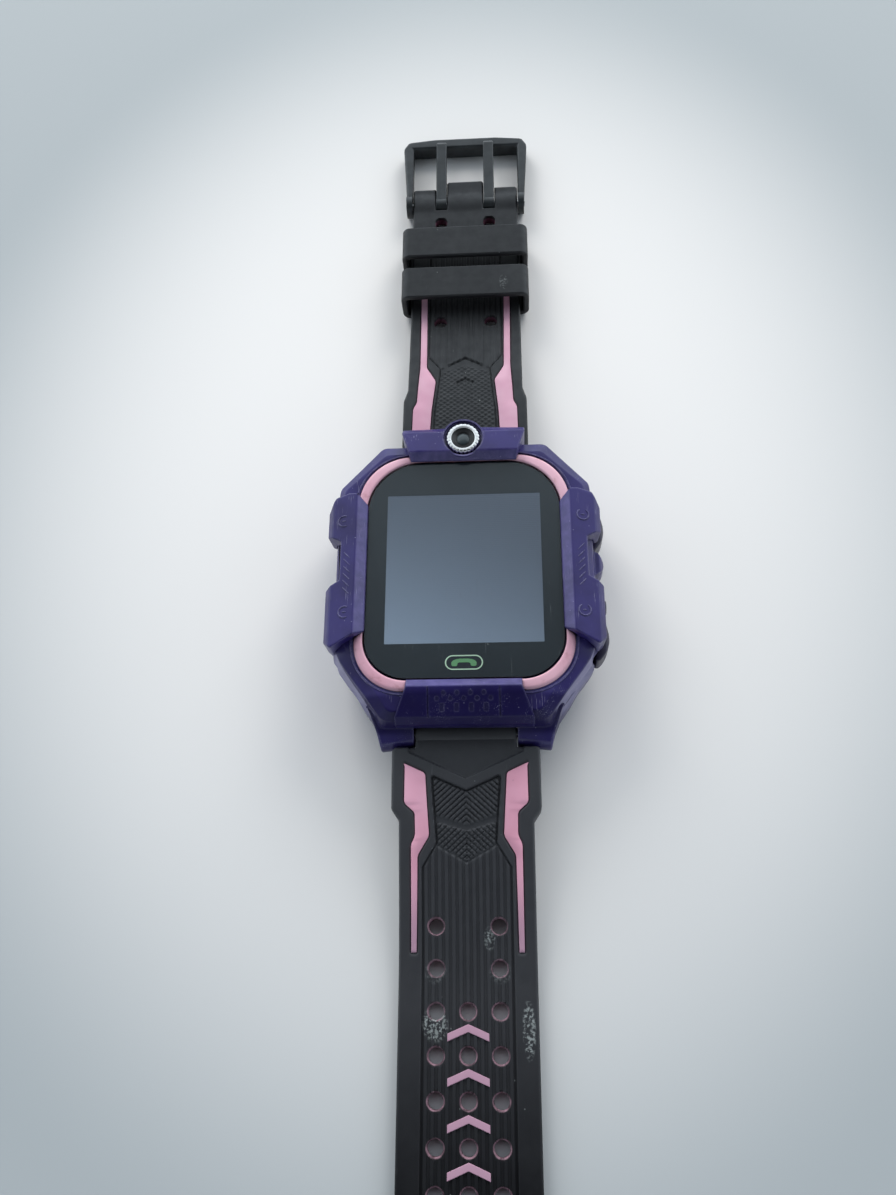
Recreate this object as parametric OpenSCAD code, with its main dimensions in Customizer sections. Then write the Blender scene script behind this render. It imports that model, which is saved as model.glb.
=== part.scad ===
// A child's phone watch with a camera, a speaker hood, side buttons and a two-prong strap.
// +Y points to the buckle, +X to the buttons, +Z out of the screen. The back rests on z = 0.

/* [Case] */
// Width of the shell at its widest
case_w = 43.6; // [43.2:0.2:45]
// Centre to the upper edge of the shell
case_up = 23.1; // [22.9:0.1:24]
// How much further from the centre the lower edge is
chin = 2.9; // [2.7:0.1:3.1]
// Height of the deck above the table
deck_z = 12.7; // [12.5:0.1:14]
// Upper corner cut, along each side
corner_cut = 7.8; // [6.8:0.2:8.4]
// Lower corner cut, across
low_cut_x = 8; // [7.4:0.2:8.4]
// Lower corner cut, along
low_cut_y = 12; // [11.4:0.2:12.4]
// Rounding of the shell's corners in plan
edge_r = 1.6; // [0.8:0.2:2.4]
// Wall beside the cavity for the works
side_wall = 4.2; // [4:0.1:4.3]
// Upper edge of the shell to the cavity
end_wall = 6.3; // [6.1:0.1:6.4]
// Corner radius of the cavity
cavity_r = 5; // [4.4:0.2:5.4]
// Thickness of the back cover
back_t = 1.5; // [1.2:0.1:1.6]
// Lap of the back cover over the shell, at each side
back_lap = 1.7; // [1.6:0.1:1.9]
// Lap of the back cover over the shell, at each end
back_end_lap = 1.5; // [1.4:0.1:1.6]
// Corner radius of the back cover
back_r = 7; // [6:0.2:7.4]

/* [Screen] */
// Side of the shell to the front glass
glass_side = 6.05; // [5.9:0.05:6.2]
// Upper edge of the shell to the front glass
glass_end = 3.9; // [3.8:0.05:4]
// Corner radius of the front glass
glass_r = 7.5; // [6.5:0.1:8]
// Thickness of the front glass
glass_t = 1.2; // [0.9:0.1:1.3]
// Black border beside the display
border_side = 3; // [2.9:0.1:3.6]
// Black border above and below the display
border_end = 5.95; // [5.75:0.05:6.5]
// Width of the pink ring beside the glass
ring_band = 1.8; // [1.6:0.05:1.9]
// Height of the pink ring above the deck
ring_rise = 0.5; // [0.3:0.1:0.7]
// Width of the call key
key_w = 6.1; // [5:0.1:7]
// Length of the call key
key_l = 2.4; // [2:0.1:2.6]
// Lower edge of the glass to the middle of the call key
key_rise = 2.7; // [2.4:0.1:3.1]

/* [Guards and hoods] */
// Height of the guards above the deck
guard_rise = 2.4; // [1.8:0.1:3]
// Width of the bright inner bevel of a guard
guard_bevel = 1.6; // [1.2:0.1:2]
// How far a guard stands out of the shell's side
guard_out = 0.8; // [0.6:0.1:1.7]
// Depth of the notch in a guard's outer edge
guard_notch = 2.4; // [1.5:0.1:2.6]
// Side of the short strap to the side of the camera hood
hood_in = 0.7; // [0.4:0.1:1.6]
// How far the camera hood stands out over the short strap
hood_out = 2.9; // [2.7:0.1:3.5]
// Height of the camera hood above the deck
hood_rise = 2.2; // [1.9:0.1:2.6]
// How much wider the speaker hood is than the tongue below it, at each side
grille_out = 1.05; // [0.6:0.05:1.6]
// Height of the speaker hood above the deck
grille_rise = 2.2; // [1.9:0.1:2.6]
// Diameter of a speaker hole
grille_hole_d = 0.6; // [0.4:0.05:0.7]

/* [Camera] */
// Upper edge of the shell to the middle of the camera
camera_out = 0.2; // [0:0.05:0.3]
// Outer diameter of the camera ring
camera_ring_d = 5.8; // [5.6:0.1:6]
// Diameter of the camera barrel
camera_barrel_d = 4.5; // [4.2:0.1:4.6]
// Diameter of the lens
camera_lens_d = 2.2; // [1.6:0.1:2.6]
// Notches round the camera ring
camera_notches = 36; // [24:2:48]

/* [Side controls] */
// Length of a side button
button_l = 8; // [7:0.2:8.2]
// Height of a side button
button_h = 4.4; // [3.6:0.2:4.6]
// Travel of a side button
button_travel = 0.5; // [0.3:0.05:0.6]
// How far a button stands out of the shell
button_out = 1.6; // [1.2:0.1:2]
// Centre of the case to the upper button
button_up = 8.2; // [8.1:0.1:8.4]
// Centre of the case to the lower button
button_down = 11.2; // [11.1:0.1:11.4]
// Length of the port cover
cover_l = 5.8; // [5.4:0.1:5.9]
// Centre of the case to the port cover
cover_down = 3.7; // [3.6:0.05:3.75]

/* [Straps] */
// Thickness of a strap where it lies flat
strap_t = 2.1; // [1.9:0.1:2.3]
// Side of the shell to the short strap
flank = 10.6; // [10.5:0.1:10.9]
// How much narrower a strap is than the short strap's root, at each side
root_in = 0.7; // [0.4:0.1:1]
// How far the long strap's shoulder stands out, at each side
shoulder_out = 1.2; // [0.8:0.1:1.7]
// How much narrower than the strap the tongue between the lugs is, at each side
tongue_in = 2.45; // [2.3:0.05:2.7]
// Lower spring bar to the tip of the long strap
long_l = 120; // [116:1:132]
// Upper spring bar to the buckle bar
short_l = 63.8; // [63:0.2:68]
// Space between the two columns of holes
hole_gap = 9.6; // [9.2:0.1:10]
// Lower spring bar to the first holes
first_hole = 29.4; // [28:0.2:31]
// Last holes to the tip of the strap
hole_end = 18; // [16:0.5:20]
// Diameter of a strap hole
hole_d = 2.5; // [2.4:0.1:2.8]
// Rows of holes in the long strap
hole_rows = 13; // [8:1:13]

/* [Lugs and bars] */
// Upper edge of the shell to the upper spring bar
bar_in = 1.9; // [1.8:0.05:2]
// Deck to the spring bars
bar_drop = 7.2; // [7:0.05:7.3]
// Diameter of a spring bar
bar_d = 1.5; // [1.3:0.1:1.8]
// Radius of the strap round its spring bar
knuckle_r = 2.2; // [2:0.05:2.25]
// Width of a lower lug
lug_w = 5.3; // [4.8:0.1:5.8]

/* [Buckle and keepers] */
// How far the buckle stands out of the strap, at each side
buckle_out = 2.2; // [2.15:0.05:3]
// Width of a side bar of the buckle
buckle_side = 2; // [1.8:0.05:2]
// Buckle bar to the outer edge of the buckle
buckle_l = 17.2; // [16.4:0.2:19]
// Depth of the buckle's outer bar
buckle_top = 3.8; // [3:0.1:4]
// Thickness of the buckle frame
buckle_t = 3.2; // [3:0.1:3.4]
// Width of a prong
prong_w = 2.1; // [1.7:0.1:2.2]
// Thickness of a prong
prong_t = 1.3; // [1:0.1:1.4]
// How far a keeper stands out of the strap, at each side
keeper_out = 1.75; // [1.55:0.05:2.5]
// Length of a keeper
keeper_l = 7; // [6:0.2:7.2]
// Height of a keeper
keeper_h = 6.7; // [6.5:0.1:8]
// Wall of a keeper
keeper_t = 1.1; // [0.9:0.05:1.2]

/* [Works] */
// Cavity beside the battery, for the port
port_room = 11.2; // [10.8:0.2:15]
// Cavity above the battery, for the motor
motor_room = 11.6; // [11.2:0.2:15]
// Free height over the parts on the board
stack_room = 0.95; // [0.85:0.05:1.4]
// Thickness of the main board
board_t = 0.8; // [0.6:0.1:0.9]
// Diameter of the screw bosses
boss_d = 3.4; // [3:0.1:3.6]
// Diameter of a back screw
screw_d = 1.5; // [1.2:0.1:1.6]
// Diameter of a back screw's head
screw_head_d = 3; // [2.6:0.1:3.2]

/* [Hidden] */
$fn = 48;

// Clearances, and the overrun of every cut
seat = 0.05;
ease = 0.2;
slip = 0.1;
run_gap = 0.05;
over = 1;
skin = 0.05;

// Levels of the case, from the table up
case_down = case_up + chin;
belly_drop = 5.7;
belly_h = 3.2;
belly_z = deck_z - belly_drop;
belly_low_z = belly_z - belly_h;
brow_drop = 1.4;
brow_z = deck_z - brow_drop;
ring_sunk = 1.5;
ledge_z = deck_z - ring_sunk;
ledge_t = 1.2;
cavity_z = ledge_z - ledge_t;
ring_top = deck_z + ring_rise;
glass_rise = 0.3;
glass_top = ring_top + glass_rise;
glass_z = glass_top - glass_t;
print_t = 0.1;
print_z = glass_z - print_t;

// How far each level of the shell draws in
base_inset = 2;
low_inset = 0.2;
brow_inset = 0.6;
deck_inset = 1.7;
facet_brow = 0.5;
facet_deck = 0.3;

// The screen's seat
glass_w = case_w - 2 * glass_side;
glass_l = 2 * (case_up - glass_end);
view_w = glass_w - 2 * border_side;
view_l = glass_l - 2 * border_end;
key_down = glass_l / 2 - key_rise;
glass_gap = 0.15;
ring_shelf = 1;
ring_w = glass_w + 2 * (glass_gap + ring_band);
ring_l = glass_l + 2 * (glass_gap + ring_band);
ring_r = glass_r + glass_gap + ring_band;
panel_t = 2.4;
panel_z = print_z - seat - panel_t;
tray_wall = 0.5;
tray_z = panel_z - seat - tray_wall;
tray_w = view_w + 2 * (seat + tray_wall);
tray_l = view_l + 2 * (seat + tray_wall);
tray_r = 1;
view_r = 0.5;
key_r = key_l / 2;

// Widths of the straps
short_root_w = case_w - 2 * flank;
strap_w = short_root_w - 2 * root_in;
shoulder_w = strap_w + 2 * shoulder_out;
tongue_w = strap_w - 2 * tongue_in;
hole_pitch = (long_l - first_hole - hole_end) / (hole_rows - 1);

// Slots and bores of the straps
bar_up = case_up - bar_in;
bar_down = case_down;
bar_z = deck_z - bar_drop;
lower_slot_w = tongue_w + 2 * ease;
upper_slot_w = short_root_w + 2 * ease;
slot_wall = 0.35;
lower_roof = 0.5;
upper_roof = 1.3;
upper_slot_z = bar_z + knuckle_r + upper_roof;
lug_r = knuckle_r + slip;
lug_x = lower_slot_w / 2;
lug_length = 3.2;
lug_root_y = case_down - lug_length;
lug_root_w = 7.2;
lug_foot_z = bar_z - lug_r;
lug_brow = 0.9;
bar_grip = 2;
upper_bar_grip = 1.5;
lower_bar_l = lower_slot_w + 2 * bar_grip;
upper_bar_l = upper_slot_w + 2 * upper_bar_grip;
bar_r = bar_d / 2;

// Side controls
control_drop = 0.3;
control_z = belly_z - control_drop;
pocket_d = 1.4;
side_x = case_w / 2;
stem_r = 1;
dome_dip = 0.2;
crown_share = 0.85;
ridge_l = 4.2;
ridge_h = 5;
ridge_out = 1.3;
ridge_up = 1.7;
cover_h = 3.6;
cover_t = 0.8;
knob_r = 1.5;
knob_out = 1.5;
knob_edge = 0.4;
nub_w = 4.8;
nub_h = 1.6;
nub_l = 2;

// Works
cavity_w = case_w - 2 * side_wall;
cavity_l = 2 * (case_up - end_wall);
back_w = cavity_w + 2 * back_lap;
back_l = cavity_l + 2 * back_end_lap;
air = 0.35;
can_h = 1.8;
battery_t = tray_z - back_t - board_t - can_h - stack_room - air - 2 * seat;
battery_w = cavity_w - port_room;
battery_l = cavity_l - motor_room;
battery_z = back_t + seat;
battery_r = 1;
battery_side = 4.2;
battery_end = 1.2;
battery_x = battery_side - cavity_w / 2 + battery_w / 2;
battery_y = battery_end - cavity_l / 2 + battery_l / 2;
board_z = battery_z + battery_t + air;
board_top = board_z + board_t;
board_gap = 0.5;
board_w = cavity_w - 2 * board_gap;
board_l = cavity_l - 2 * board_gap;
gasket_w = 0.6;
gasket_h = 0.6;
gasket_off = 0.45;
boss_in = 2.2;
boss_x = cavity_w / 2 - boss_in;
boss_y = cavity_l / 2 - boss_in;
switch_w = 2.6;
switch_h = 1.6;
stem_z = board_top + switch_h / 2;
switch_gap = 0.4;
switch_x = cavity_w / 2 - switch_gap;
port_w = 5.7;
port_h = 2.6;
port_l = 5;
port_wall = 0.3;
port_mid = board_z + board_t / 2;
port_x = cavity_w / 2 - slip - port_l;
head_h = 0.8;

// Camera and speaker
camera_up = case_up + camera_out;
hood_w = short_root_w - 2 * hood_in;
hood_up = case_up + hood_out;
camera_floor = cavity_z + slip;
module_w = 6.4;
module_l = 2 * (camera_up - ring_l / 2 - slip);
module_h = 2.9;
module_z = camera_floor + slip;
ring_seat_z = module_z + module_h + 2 * ease;
camera_ring_h = 1;
flex_w = 4;
flex_t = 0.2;
flex_in = 0.8;
flex_leg_y = cavity_l / 2 - flex_in;
speaker_in = 0.85;
speaker_w = tongue_w - 2 * speaker_in;
speaker_l = 4.6;
speaker_h = 3.6;
speaker_back = 5.9;
speaker_y = case_down - speaker_back;
speaker_gap = 0.2;
speaker_roof_t = 0.4;
speaker_roof = ledge_z - speaker_roof_t;
channel_l = 1.1;
channel_back = 3.95;
channel_y = case_down - channel_back;
channel_in = 0.7;
channel_w = speaker_w - 2 * channel_in;
grille_w = tongue_w + 2 * grille_out;
grille_bevel = 1.7;
grille_ridge = glass_l / 2 + grille_bevel;
grille_fall_share = 0.5;
grille_flare = 1.8;
grille_foot = 0.7;

// Straps: a root beside the bar, a ramp down to the table, and a flat run
ramp_start = 4;
ramp_end = 40;
belly_start = 2;
belly_end = 34;
ramp_steps = 18;
root_up_share = 0.93;
root_down_share = 0.75;
root_up = root_up_share * knuckle_r;
root_down = root_down_share * knuckle_r;
shoulder_start = lug_r + slot_wall;
shoulder_end = 12.2;
shoulder_slope = 1.8;
short_shoulder_end = 15.1;
short_shoulder_slope = 2.3;
tip_l = 10.5;
tip_steps = 10;
lift = keeper_t + slip;
inlay_t = 0.6;
field_t = 0.3;
field_in = 3.45;
neck_in = 5.7;
field_w = strap_w - 2 * field_in;
field_neck = strap_w - 2 * neck_in;
neck_back = 17.3;
field_flare = 3.6;
field_end = 12;
inlay_tail = 3.8;
long_inlay_l = first_hole + inlay_tail;
motif_gap = 0.45;
motif_w = hole_gap - hole_d - 2 * motif_gap;
motif_t = 1.1;
motif_dip = 1.3;
hole_back_a = 29.4;
hole_back_b = 5.2;
plain_rows = 2;

// Buckle
buckle_bar_d = 1.4;
buckle_bar_r = buckle_bar_d / 2;
buckle_z = lift + strap_t / 2;
buckle_y = bar_up + short_l;
buckle_w = strap_w + 2 * buckle_out;
keeper_w = strap_w + 2 * keeper_out;
end_r = 1.85;
eye_r = 2.1;
bar_hold = 1.3;
buckle_arch = 1.1;
keeper_r = 1.5;
keeper_in_r = 0.4;
strap_end = 3.6;
tongue_end = 5.4;
prong_gap = hole_gap;
prong_eye_r = 1.5;
slot_gap = 0.25;
tip_over = 0.9;
rear_back = 16.1;
keeper_pitch = 9.7;
rear_keeper_y = buckle_y - rear_back;
front_keeper_y = rear_keeper_y - keeper_pitch;
short_inlay_l = front_keeper_y - bar_up;

// Guards
guard_over = case_w + 2 * guard_out;
guard_up = 10;
guard_down = 11.8;
guard_skirt = 3.2;

// Shapes shared by several pieces

function arc(cx, cy, r, from, to, steps) =
    [for (i = [0:steps]) [cx + r * cos(from + (to - from) * i / steps),
                          cy + r * sin(from + (to - from) * i / steps)]];

function rounded(w, l, r, steps = 10) =
    concat(arc(w / 2 - r, l / 2 - r, r, 0, 90, steps), arc(r - w / 2, l / 2 - r, r, 90, 180, steps),
           arc(r - w / 2, r - l / 2, r, 180, 270, steps), arc(w / 2 - r, r - l / 2, r, 270, 360, steps));

// A half outline on the +X side, listed along Y, closed by its mirror image
function both_sides(half) =
    concat(half, [for (i = [len(half) - 1:-1:0]) [-half[i][0], half[i][1]]]);

// Octagon of the shell, drawn in by inset, and by low more at the two lower corner cuts
function shell_outline(inset, low) =
    let (w = case_w / 2 - inset, u = case_up - inset, d = case_down - inset,
         diagonal = case_w / 2 + case_up - corner_cut - inset * sqrt(2),
         run = norm([low_cut_x, low_cut_y]), nx = low_cut_y / run, ny = low_cut_x / run,
         reach = nx * case_w / 2 + ny * (case_down - low_cut_y) - inset - low)
    both_sides([[diagonal - u, u], [w, diagonal - w], [w, -(reach - nx * w) / ny],
                [(reach - ny * d) / nx, -d]]);

module shell_layer(z, inset, low) {
    translate([0, 0, z])
        linear_extrude(skin)
            offset(r = edge_r, $fn = 24)
                offset(delta = -edge_r)
                    polygon(shell_outline(inset, low));
}

// The outer form of the shell, grown all round for what seats on it
module shell_form(grow = 0) {
    hull() {
        shell_layer(back_t - grow, base_inset - grow, 0);
        shell_layer(belly_low_z, low_inset - grow, 0);
        shell_layer(belly_z, -grow, 0);
        shell_layer(brow_z, brow_inset - grow, facet_brow);
        shell_layer(deck_z - skin + grow, deck_inset - grow, facet_brow + facet_deck);
    }
}

module plate(w, l, r, z, h) {
    translate([0, 0, z])
        linear_extrude(h)
            polygon(rounded(w, l, r));
}

module block(low, high) {
    translate(low)
        cube(high - low);
}

// An outline in the YZ plane, drawn out along X from the middle
module across(w, points) {
    rotate([90, 0, 90])
        translate([0, 0, -w / 2])
            linear_extrude(w)
                polygon(points);
}

// A round bar along X
module cross_bar(r, w, y, z) {
    translate([-w / 2, y, z])
        rotate([0, 90, 0])
            cylinder(r = r, h = w);
}

// What the guards and hoods are cut to, so that they seat on the deck and the ring
module deck_cut() {
    shell_form(seat);
    plate(ring_w + 2 * seat, ring_l + 2 * seat, ring_r + seat, ledge_z, ring_top + seat - ledge_z);
}

// A bump on the +X side, round in plan and in height
module side_bump(y, z, l, h, from_x, to_x) {
    sag = to_x - side_x + dome_dip;
    plan_r = (l * l / 4 + sag * sag) / (2 * sag);
    rise_r = crown_share * h;
    intersection() {
        block([from_x, y - l / 2, z - h / 2], [to_x, y + l / 2, z + h / 2]);
        translate([to_x - plan_r, y, z - h])
            cylinder(r = plan_r, h = 2 * h);
        translate([to_x + dome_dip - rise_r, y - l, z])
            rotate([-90, 0, 0])
                cylinder(r = rise_r, h = 2 * l);
    }
}

module four_corners() {
    for (x = [-1, 1], y = [-1, 1])
        translate([x * boss_x, y * boss_y, 0])
            children();
}

// Case

module lower_lug(side) {
    foot = lug_foot_z;
    x0 = side > 0 ? lug_x : -lug_x - lug_root_w;
    x1 = side > 0 ? lug_x : -lug_x - lug_w;
    hull() {
        block([x0, -lug_root_y - skin, foot], [x0 + lug_root_w, -lug_root_y, brow_z - lug_brow]);
        translate([x1, -bar_down, bar_z])
            rotate([0, 90, 0])
                cylinder(r = lug_r, h = lug_w, $fn = 32);
    }
}

module case_shell() {
    color([0.27, 0.23, 0.46])
    difference() {
        union() {
            difference() {
                shell_form();
                block([-case_w, -case_down - over, -over], [case_w, -lug_root_y, lug_foot_z]);
            }
            lower_lug(1);
            lower_lug(-1);
            side_bump(ridge_up, control_z, ridge_l, ridge_h, side_x - over, side_x + ridge_out);
        }
        difference() {
            plate(cavity_w, cavity_l, cavity_r, -over, cavity_z + over);
            four_corners()
                cylinder(d = boss_d, h = cavity_z + over);
        }
        four_corners()
            cylinder(d = screw_d + 2 * run_gap, h = cavity_z - over);
        plate(tray_w + 2 * slip, tray_l + 2 * slip, tray_r, cavity_z - over, ledge_t + 2 * over);
        plate(ring_w + 2 * seat, ring_l + 2 * seat, ring_r + seat, ledge_z, ring_sunk + over);
        gasket_ring(seat, back_t - over, gasket_h + over);
        block([-lower_slot_w / 2, -case_down - knuckle_r - over, -over],
              [lower_slot_w / 2, -bar_down + knuckle_r + slot_wall, bar_z + knuckle_r + lower_roof]);
        block([-upper_slot_w / 2, bar_up - knuckle_r - slot_wall, -over],
              [upper_slot_w / 2, case_up + over, upper_slot_z]);
        cross_bar(bar_r + seat, lower_bar_l + 2 * slip, -bar_down, bar_z);
        cross_bar(bar_r + seat, upper_bar_l + 2 * slip, bar_up, bar_z);
        camera_pocket();
        flex_cut();
        block([-speaker_w / 2 - slip, -speaker_y - speaker_l / 2 - slip, lug_foot_z],
              [speaker_w / 2 + slip, -cavity_l / 2 + over, speaker_roof]);
        block([-channel_w / 2, -channel_y - channel_l / 2, speaker_roof - over],
              [channel_w / 2, -channel_y + channel_l / 2, deck_z + over]);
        button_pocket(button_up);
        button_pocket(-button_down);
        cover_pocket();
    }
}

module button_pocket(y) {
    block([side_x - pocket_d, y - button_l / 2 - slip, control_z - button_h / 2 - slip],
          [side_x + button_out, y + button_l / 2 + slip, control_z + button_h / 2 + slip]);
    translate([cavity_w / 2 - over, y, stem_z])
        rotate([0, 90, 0])
            cylinder(r = stem_r + run_gap, h = pocket_d + side_x - cavity_w / 2);
}

module cover_pocket() {
    block([side_x - cover_t - ease, -cover_down - cover_l / 2 - slip, port_mid - cover_h / 2 - slip],
          [side_x + over, -cover_down + cover_l / 2 + slip, port_mid + cover_h / 2 + slip]);
    block([cavity_w / 2 - over, -cover_down - nub_w / 2 - slip, port_mid - nub_h / 2 - slip],
          [side_x, -cover_down + nub_w / 2 + slip, port_mid + nub_h / 2 + slip]);
}

module back_cover() {
    color([0.13, 0.13, 0.16])
    difference() {
        hull() {
            plate(back_w, back_l, back_r, back_t / 2, back_t / 2);
            plate(back_w - back_t, back_l - back_t, back_r - back_t / 2, 0, skin);
        }
        four_corners() {
            translate([0, 0, -over])
                cylinder(d = screw_d + 2 * slip, h = back_t + 2 * over);
            translate([0, 0, -over])
                cylinder(d = screw_head_d + ease, h = over + head_h + slip);
        }
    }
}

// The groove and the seal share one shape
module gasket_ring(grow, z, h) {
    outer = gasket_off + gasket_w + grow;
    inner = gasket_off - grow;
    difference() {
        plate(cavity_w + 2 * outer, cavity_l + 2 * outer, cavity_r + outer, z, h);
        plate(cavity_w + 2 * inner, cavity_l + 2 * inner, cavity_r + inner, z - over, h + 2 * over);
    }
}

module back_gasket() {
    color([0.2, 0.2, 0.2])
    gasket_ring(0, back_t, gasket_h - seat);
}

module back_screws() {
    cross_w = 0.4;
    cross_l = 1.6;
    screw_l = 5;
    color([0.6, 0.6, 0.62])
    four_corners()
        difference() {
            union() {
                translate([0, 0, slip])
                    cylinder(d = screw_head_d, h = head_h);
                translate([0, 0, slip])
                    cylinder(d = screw_d, h = screw_l);
            }
            for (turn = [0, 90])
                rotate([0, 0, turn])
                    block([-cross_l / 2, -cross_w / 2, 0], [cross_l / 2, cross_w / 2, head_h * 0.7]);
        }
}

// Screen

module bezel_ring() {
    color([0.86, 0.62, 0.72])
    difference() {
        union() {
            plate(ring_w, ring_l, ring_r, ledge_z, ring_top - ring_rise - ledge_z);
            plate(ring_w - ring_rise, ring_l - ring_rise, ring_r - ring_rise / 2, ledge_z,
                  ring_top - ledge_z);
        }
        plate(glass_w + 2 * glass_gap, glass_l + 2 * glass_gap, glass_r + glass_gap, print_z, over * 2);
        plate(glass_w - 2 * ring_shelf, glass_l - 2 * ring_shelf, glass_r - ring_shelf, cavity_z,
              ring_top - cavity_z + over);
    }
}

module front_glass() {
    color([0.1, 0.11, 0.12])
    plate(glass_w, glass_l, glass_r, glass_z, glass_t);
}

module border_print() {
    color([0.04, 0.04, 0.05])
    difference() {
        plate(glass_w - slip, glass_l - slip, glass_r, print_z, print_t);
        plate(view_w, view_l, view_r, print_z - over, print_t + 2 * over);
        translate([0, -key_down, 0])
            plate(key_w + 2 * seat, key_l + 2 * seat, key_r, print_z - over, print_t + 2 * over);
    }
}

module call_key() {
    color([0.2, 0.5, 0.3])
    translate([0, -key_down, 0])
        plate(key_w, key_l, key_r - skin, print_z, print_t);
}

module display_panel() {
    color([0.4, 0.45, 0.5])
    block([-view_w / 2, -view_l / 2, panel_z], [view_w / 2, view_l / 2, panel_z + panel_t]);
}

module display_frame() {
    color([0.5, 0.5, 0.52])
    difference() {
        plate(tray_w, tray_l, tray_r, tray_z, panel_z + panel_t - tray_z);
        block([-view_w / 2 - seat, -view_l / 2 - seat, panel_z - seat],
              [view_w / 2 + seat, view_l / 2 + seat, print_z + over]);
    }
}

// Guards and hoods

module guard() {
    inner = glass_w / 2 + ease;
    outer = guard_over / 2;
    lip = ring_top + 2 * ease;
    top = deck_z + guard_rise;
    fall = 0.9;
    brow = 2.2;
    edge = 0.9;
    skirt_z = deck_z - guard_skirt;
    skirt_in = 0.4;
    step = outer - guard_notch;
    upper_end = case_up - guard_up;
    upper_nose = 1.8;
    lower_end = case_down - guard_down;
    lower_nose = 3;
    notch_up = 5.6;
    notch_down = 2.6;
    slope = 1.3;
    difference() {
        intersection() {
            translate([0, upper_end, 0])
                rotate([90, 0, 0])
                    linear_extrude(upper_end + lower_end)
                        polygon([[inner, skirt_z], [inner, lip], [inner + guard_bevel, top],
                                 [outer - edge, top - fall], [outer, top - brow],
                                 [outer - skirt_in, skirt_z]]);
            translate([0, 0, skirt_z - over])
                linear_extrude(top + over)
                    polygon([[inner, -lower_end + lower_nose], [outer - slope, -lower_end],
                             [outer, -lower_end + slope], [outer, -notch_down - slope], [step, -notch_down],
                             [step, notch_up - slope], [outer + skin, notch_up],
                             [outer, upper_end - lower_nose], [outer - slope, upper_end - slope / 2],
                             [inner + upper_nose + slope, upper_end], [inner + upper_nose, upper_end],
                             [inner, upper_end - upper_nose]]);
        }
        deck_cut();
    }
}

module left_guard() {
    color([0.3, 0.26, 0.5])
    mirror([1, 0, 0])
        guard();
}

module right_guard() {
    color([0.3, 0.26, 0.5])
    guard();
}

module camera_pocket() {
    block([-module_w / 2 - slip, camera_up - module_l / 2 - slip, camera_floor],
          [module_w / 2 + slip, camera_up + module_l / 2 + slip, module_z + module_h + slip]);
}

// The flex runs back from the camera over the slot, and down to the board's edge
module flex_cut() {
    block([-flex_w / 2 - slip, flex_leg_y - slip, cavity_z - over],
          [flex_w / 2 + slip, cavity_l / 2, module_z + flex_t + slip]);
    block([-flex_w / 2 - slip, flex_leg_y - slip, module_z - slip],
          [flex_w / 2 + slip, camera_up - module_l / 2 + slip, module_z + flex_t + slip]);
}

module camera_hood() {
    inner = glass_l / 2 + ease;
    hood_flare = 1.6;
    inner_w = hood_w - 2 * hood_flare;
    top = deck_z + hood_rise;
    lip = ring_top + 2 * ease;
    bevel = 1.3;
    fall = 0.6;
    nose = 1.3;
    brow = 2;
    boss_r = 3.6;
    boss_drop = 0.35;
    hood_z = upper_slot_z + ease;
    color([0.3, 0.26, 0.5])
    difference() {
        union() {
            intersection() {
                across(hood_w, [[inner, hood_z], [inner, lip], [inner + bevel, top],
                                [hood_up - nose, top - fall], [hood_up, top - brow], [hood_up, hood_z]]);
                translate([0, 0, hood_z - over])
                    linear_extrude(top + over)
                        polygon(both_sides([[inner_w / 2, inner], [hood_w / 2, hood_up - nose],
                                            [hood_w / 2, hood_up]]));
            }
            translate([0, camera_up, module_z])
                cylinder(r = boss_r, h = top - boss_drop - module_z);
        }
        deck_cut();
        camera_pocket();
        translate([0, camera_up, module_z])
            cylinder(d = camera_barrel_d + 2 * seat, h = top);
        translate([0, camera_up, ring_seat_z])
            cylinder(d = camera_ring_d + 2 * ease, h = top);
    }
}

module camera_ring() {
    notch_r = 0.14;
    color([0.8, 0.8, 0.8])
    difference() {
        translate([0, camera_up, ring_seat_z + seat])
            cylinder(d = camera_ring_d, h = camera_ring_h);
        translate([0, camera_up, ring_seat_z - over])
            cylinder(d = camera_barrel_d + 2 * seat, h = camera_ring_h + 2 * over);
        for (i = [0:camera_notches - 1])
            translate([0, camera_up, ring_seat_z - over])
                rotate([0, 0, 360 * i / camera_notches])
                    translate([camera_ring_d / 2, 0, 0])
                        cylinder(r = notch_r, h = camera_ring_h + 2 * over, $fn = 16);
    }
}

module camera_barrel() {
    rim = 0.35;
    cup = 0.5;
    lens_seat = 0.3;
    top = ring_seat_z + camera_ring_h - slip;
    color([0.08, 0.08, 0.09])
    translate([0, camera_up, 0])
        difference() {
            translate([0, 0, module_z + module_h + seat])
                cylinder(d = camera_barrel_d, h = top - module_z - module_h - seat);
            translate([0, 0, top - cup])
                cylinder(d1 = camera_lens_d + 2 * slip, d2 = camera_barrel_d - 2 * rim, h = cup + skin);
            translate([0, 0, top - cup - lens_seat])
                cylinder(d = camera_lens_d + 2 * seat, h = lens_seat + cup);
        }
}

module camera_lens() {
    dome_share = 0.2;
    top = ring_seat_z + camera_ring_h - slip;
    base = 0.25;
    seat_z = 0.75;
    dome = camera_lens_d * dome_share;
    ball = (camera_lens_d * camera_lens_d / 4 + dome * dome) / (2 * dome);
    color([0.12, 0.14, 0.16])
    translate([0, camera_up, top - seat_z])
        intersection() {
            cylinder(d = camera_lens_d, h = base + dome + over);
            translate([0, 0, base + dome - ball])
                sphere(r = ball, $fn = 64);
        }
}

module camera_module() {
    color([0.15, 0.15, 0.17])
    block([-module_w / 2, camera_up - module_l / 2, module_z],
          [module_w / 2, camera_up + module_l / 2, module_z + module_h]);
}

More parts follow.
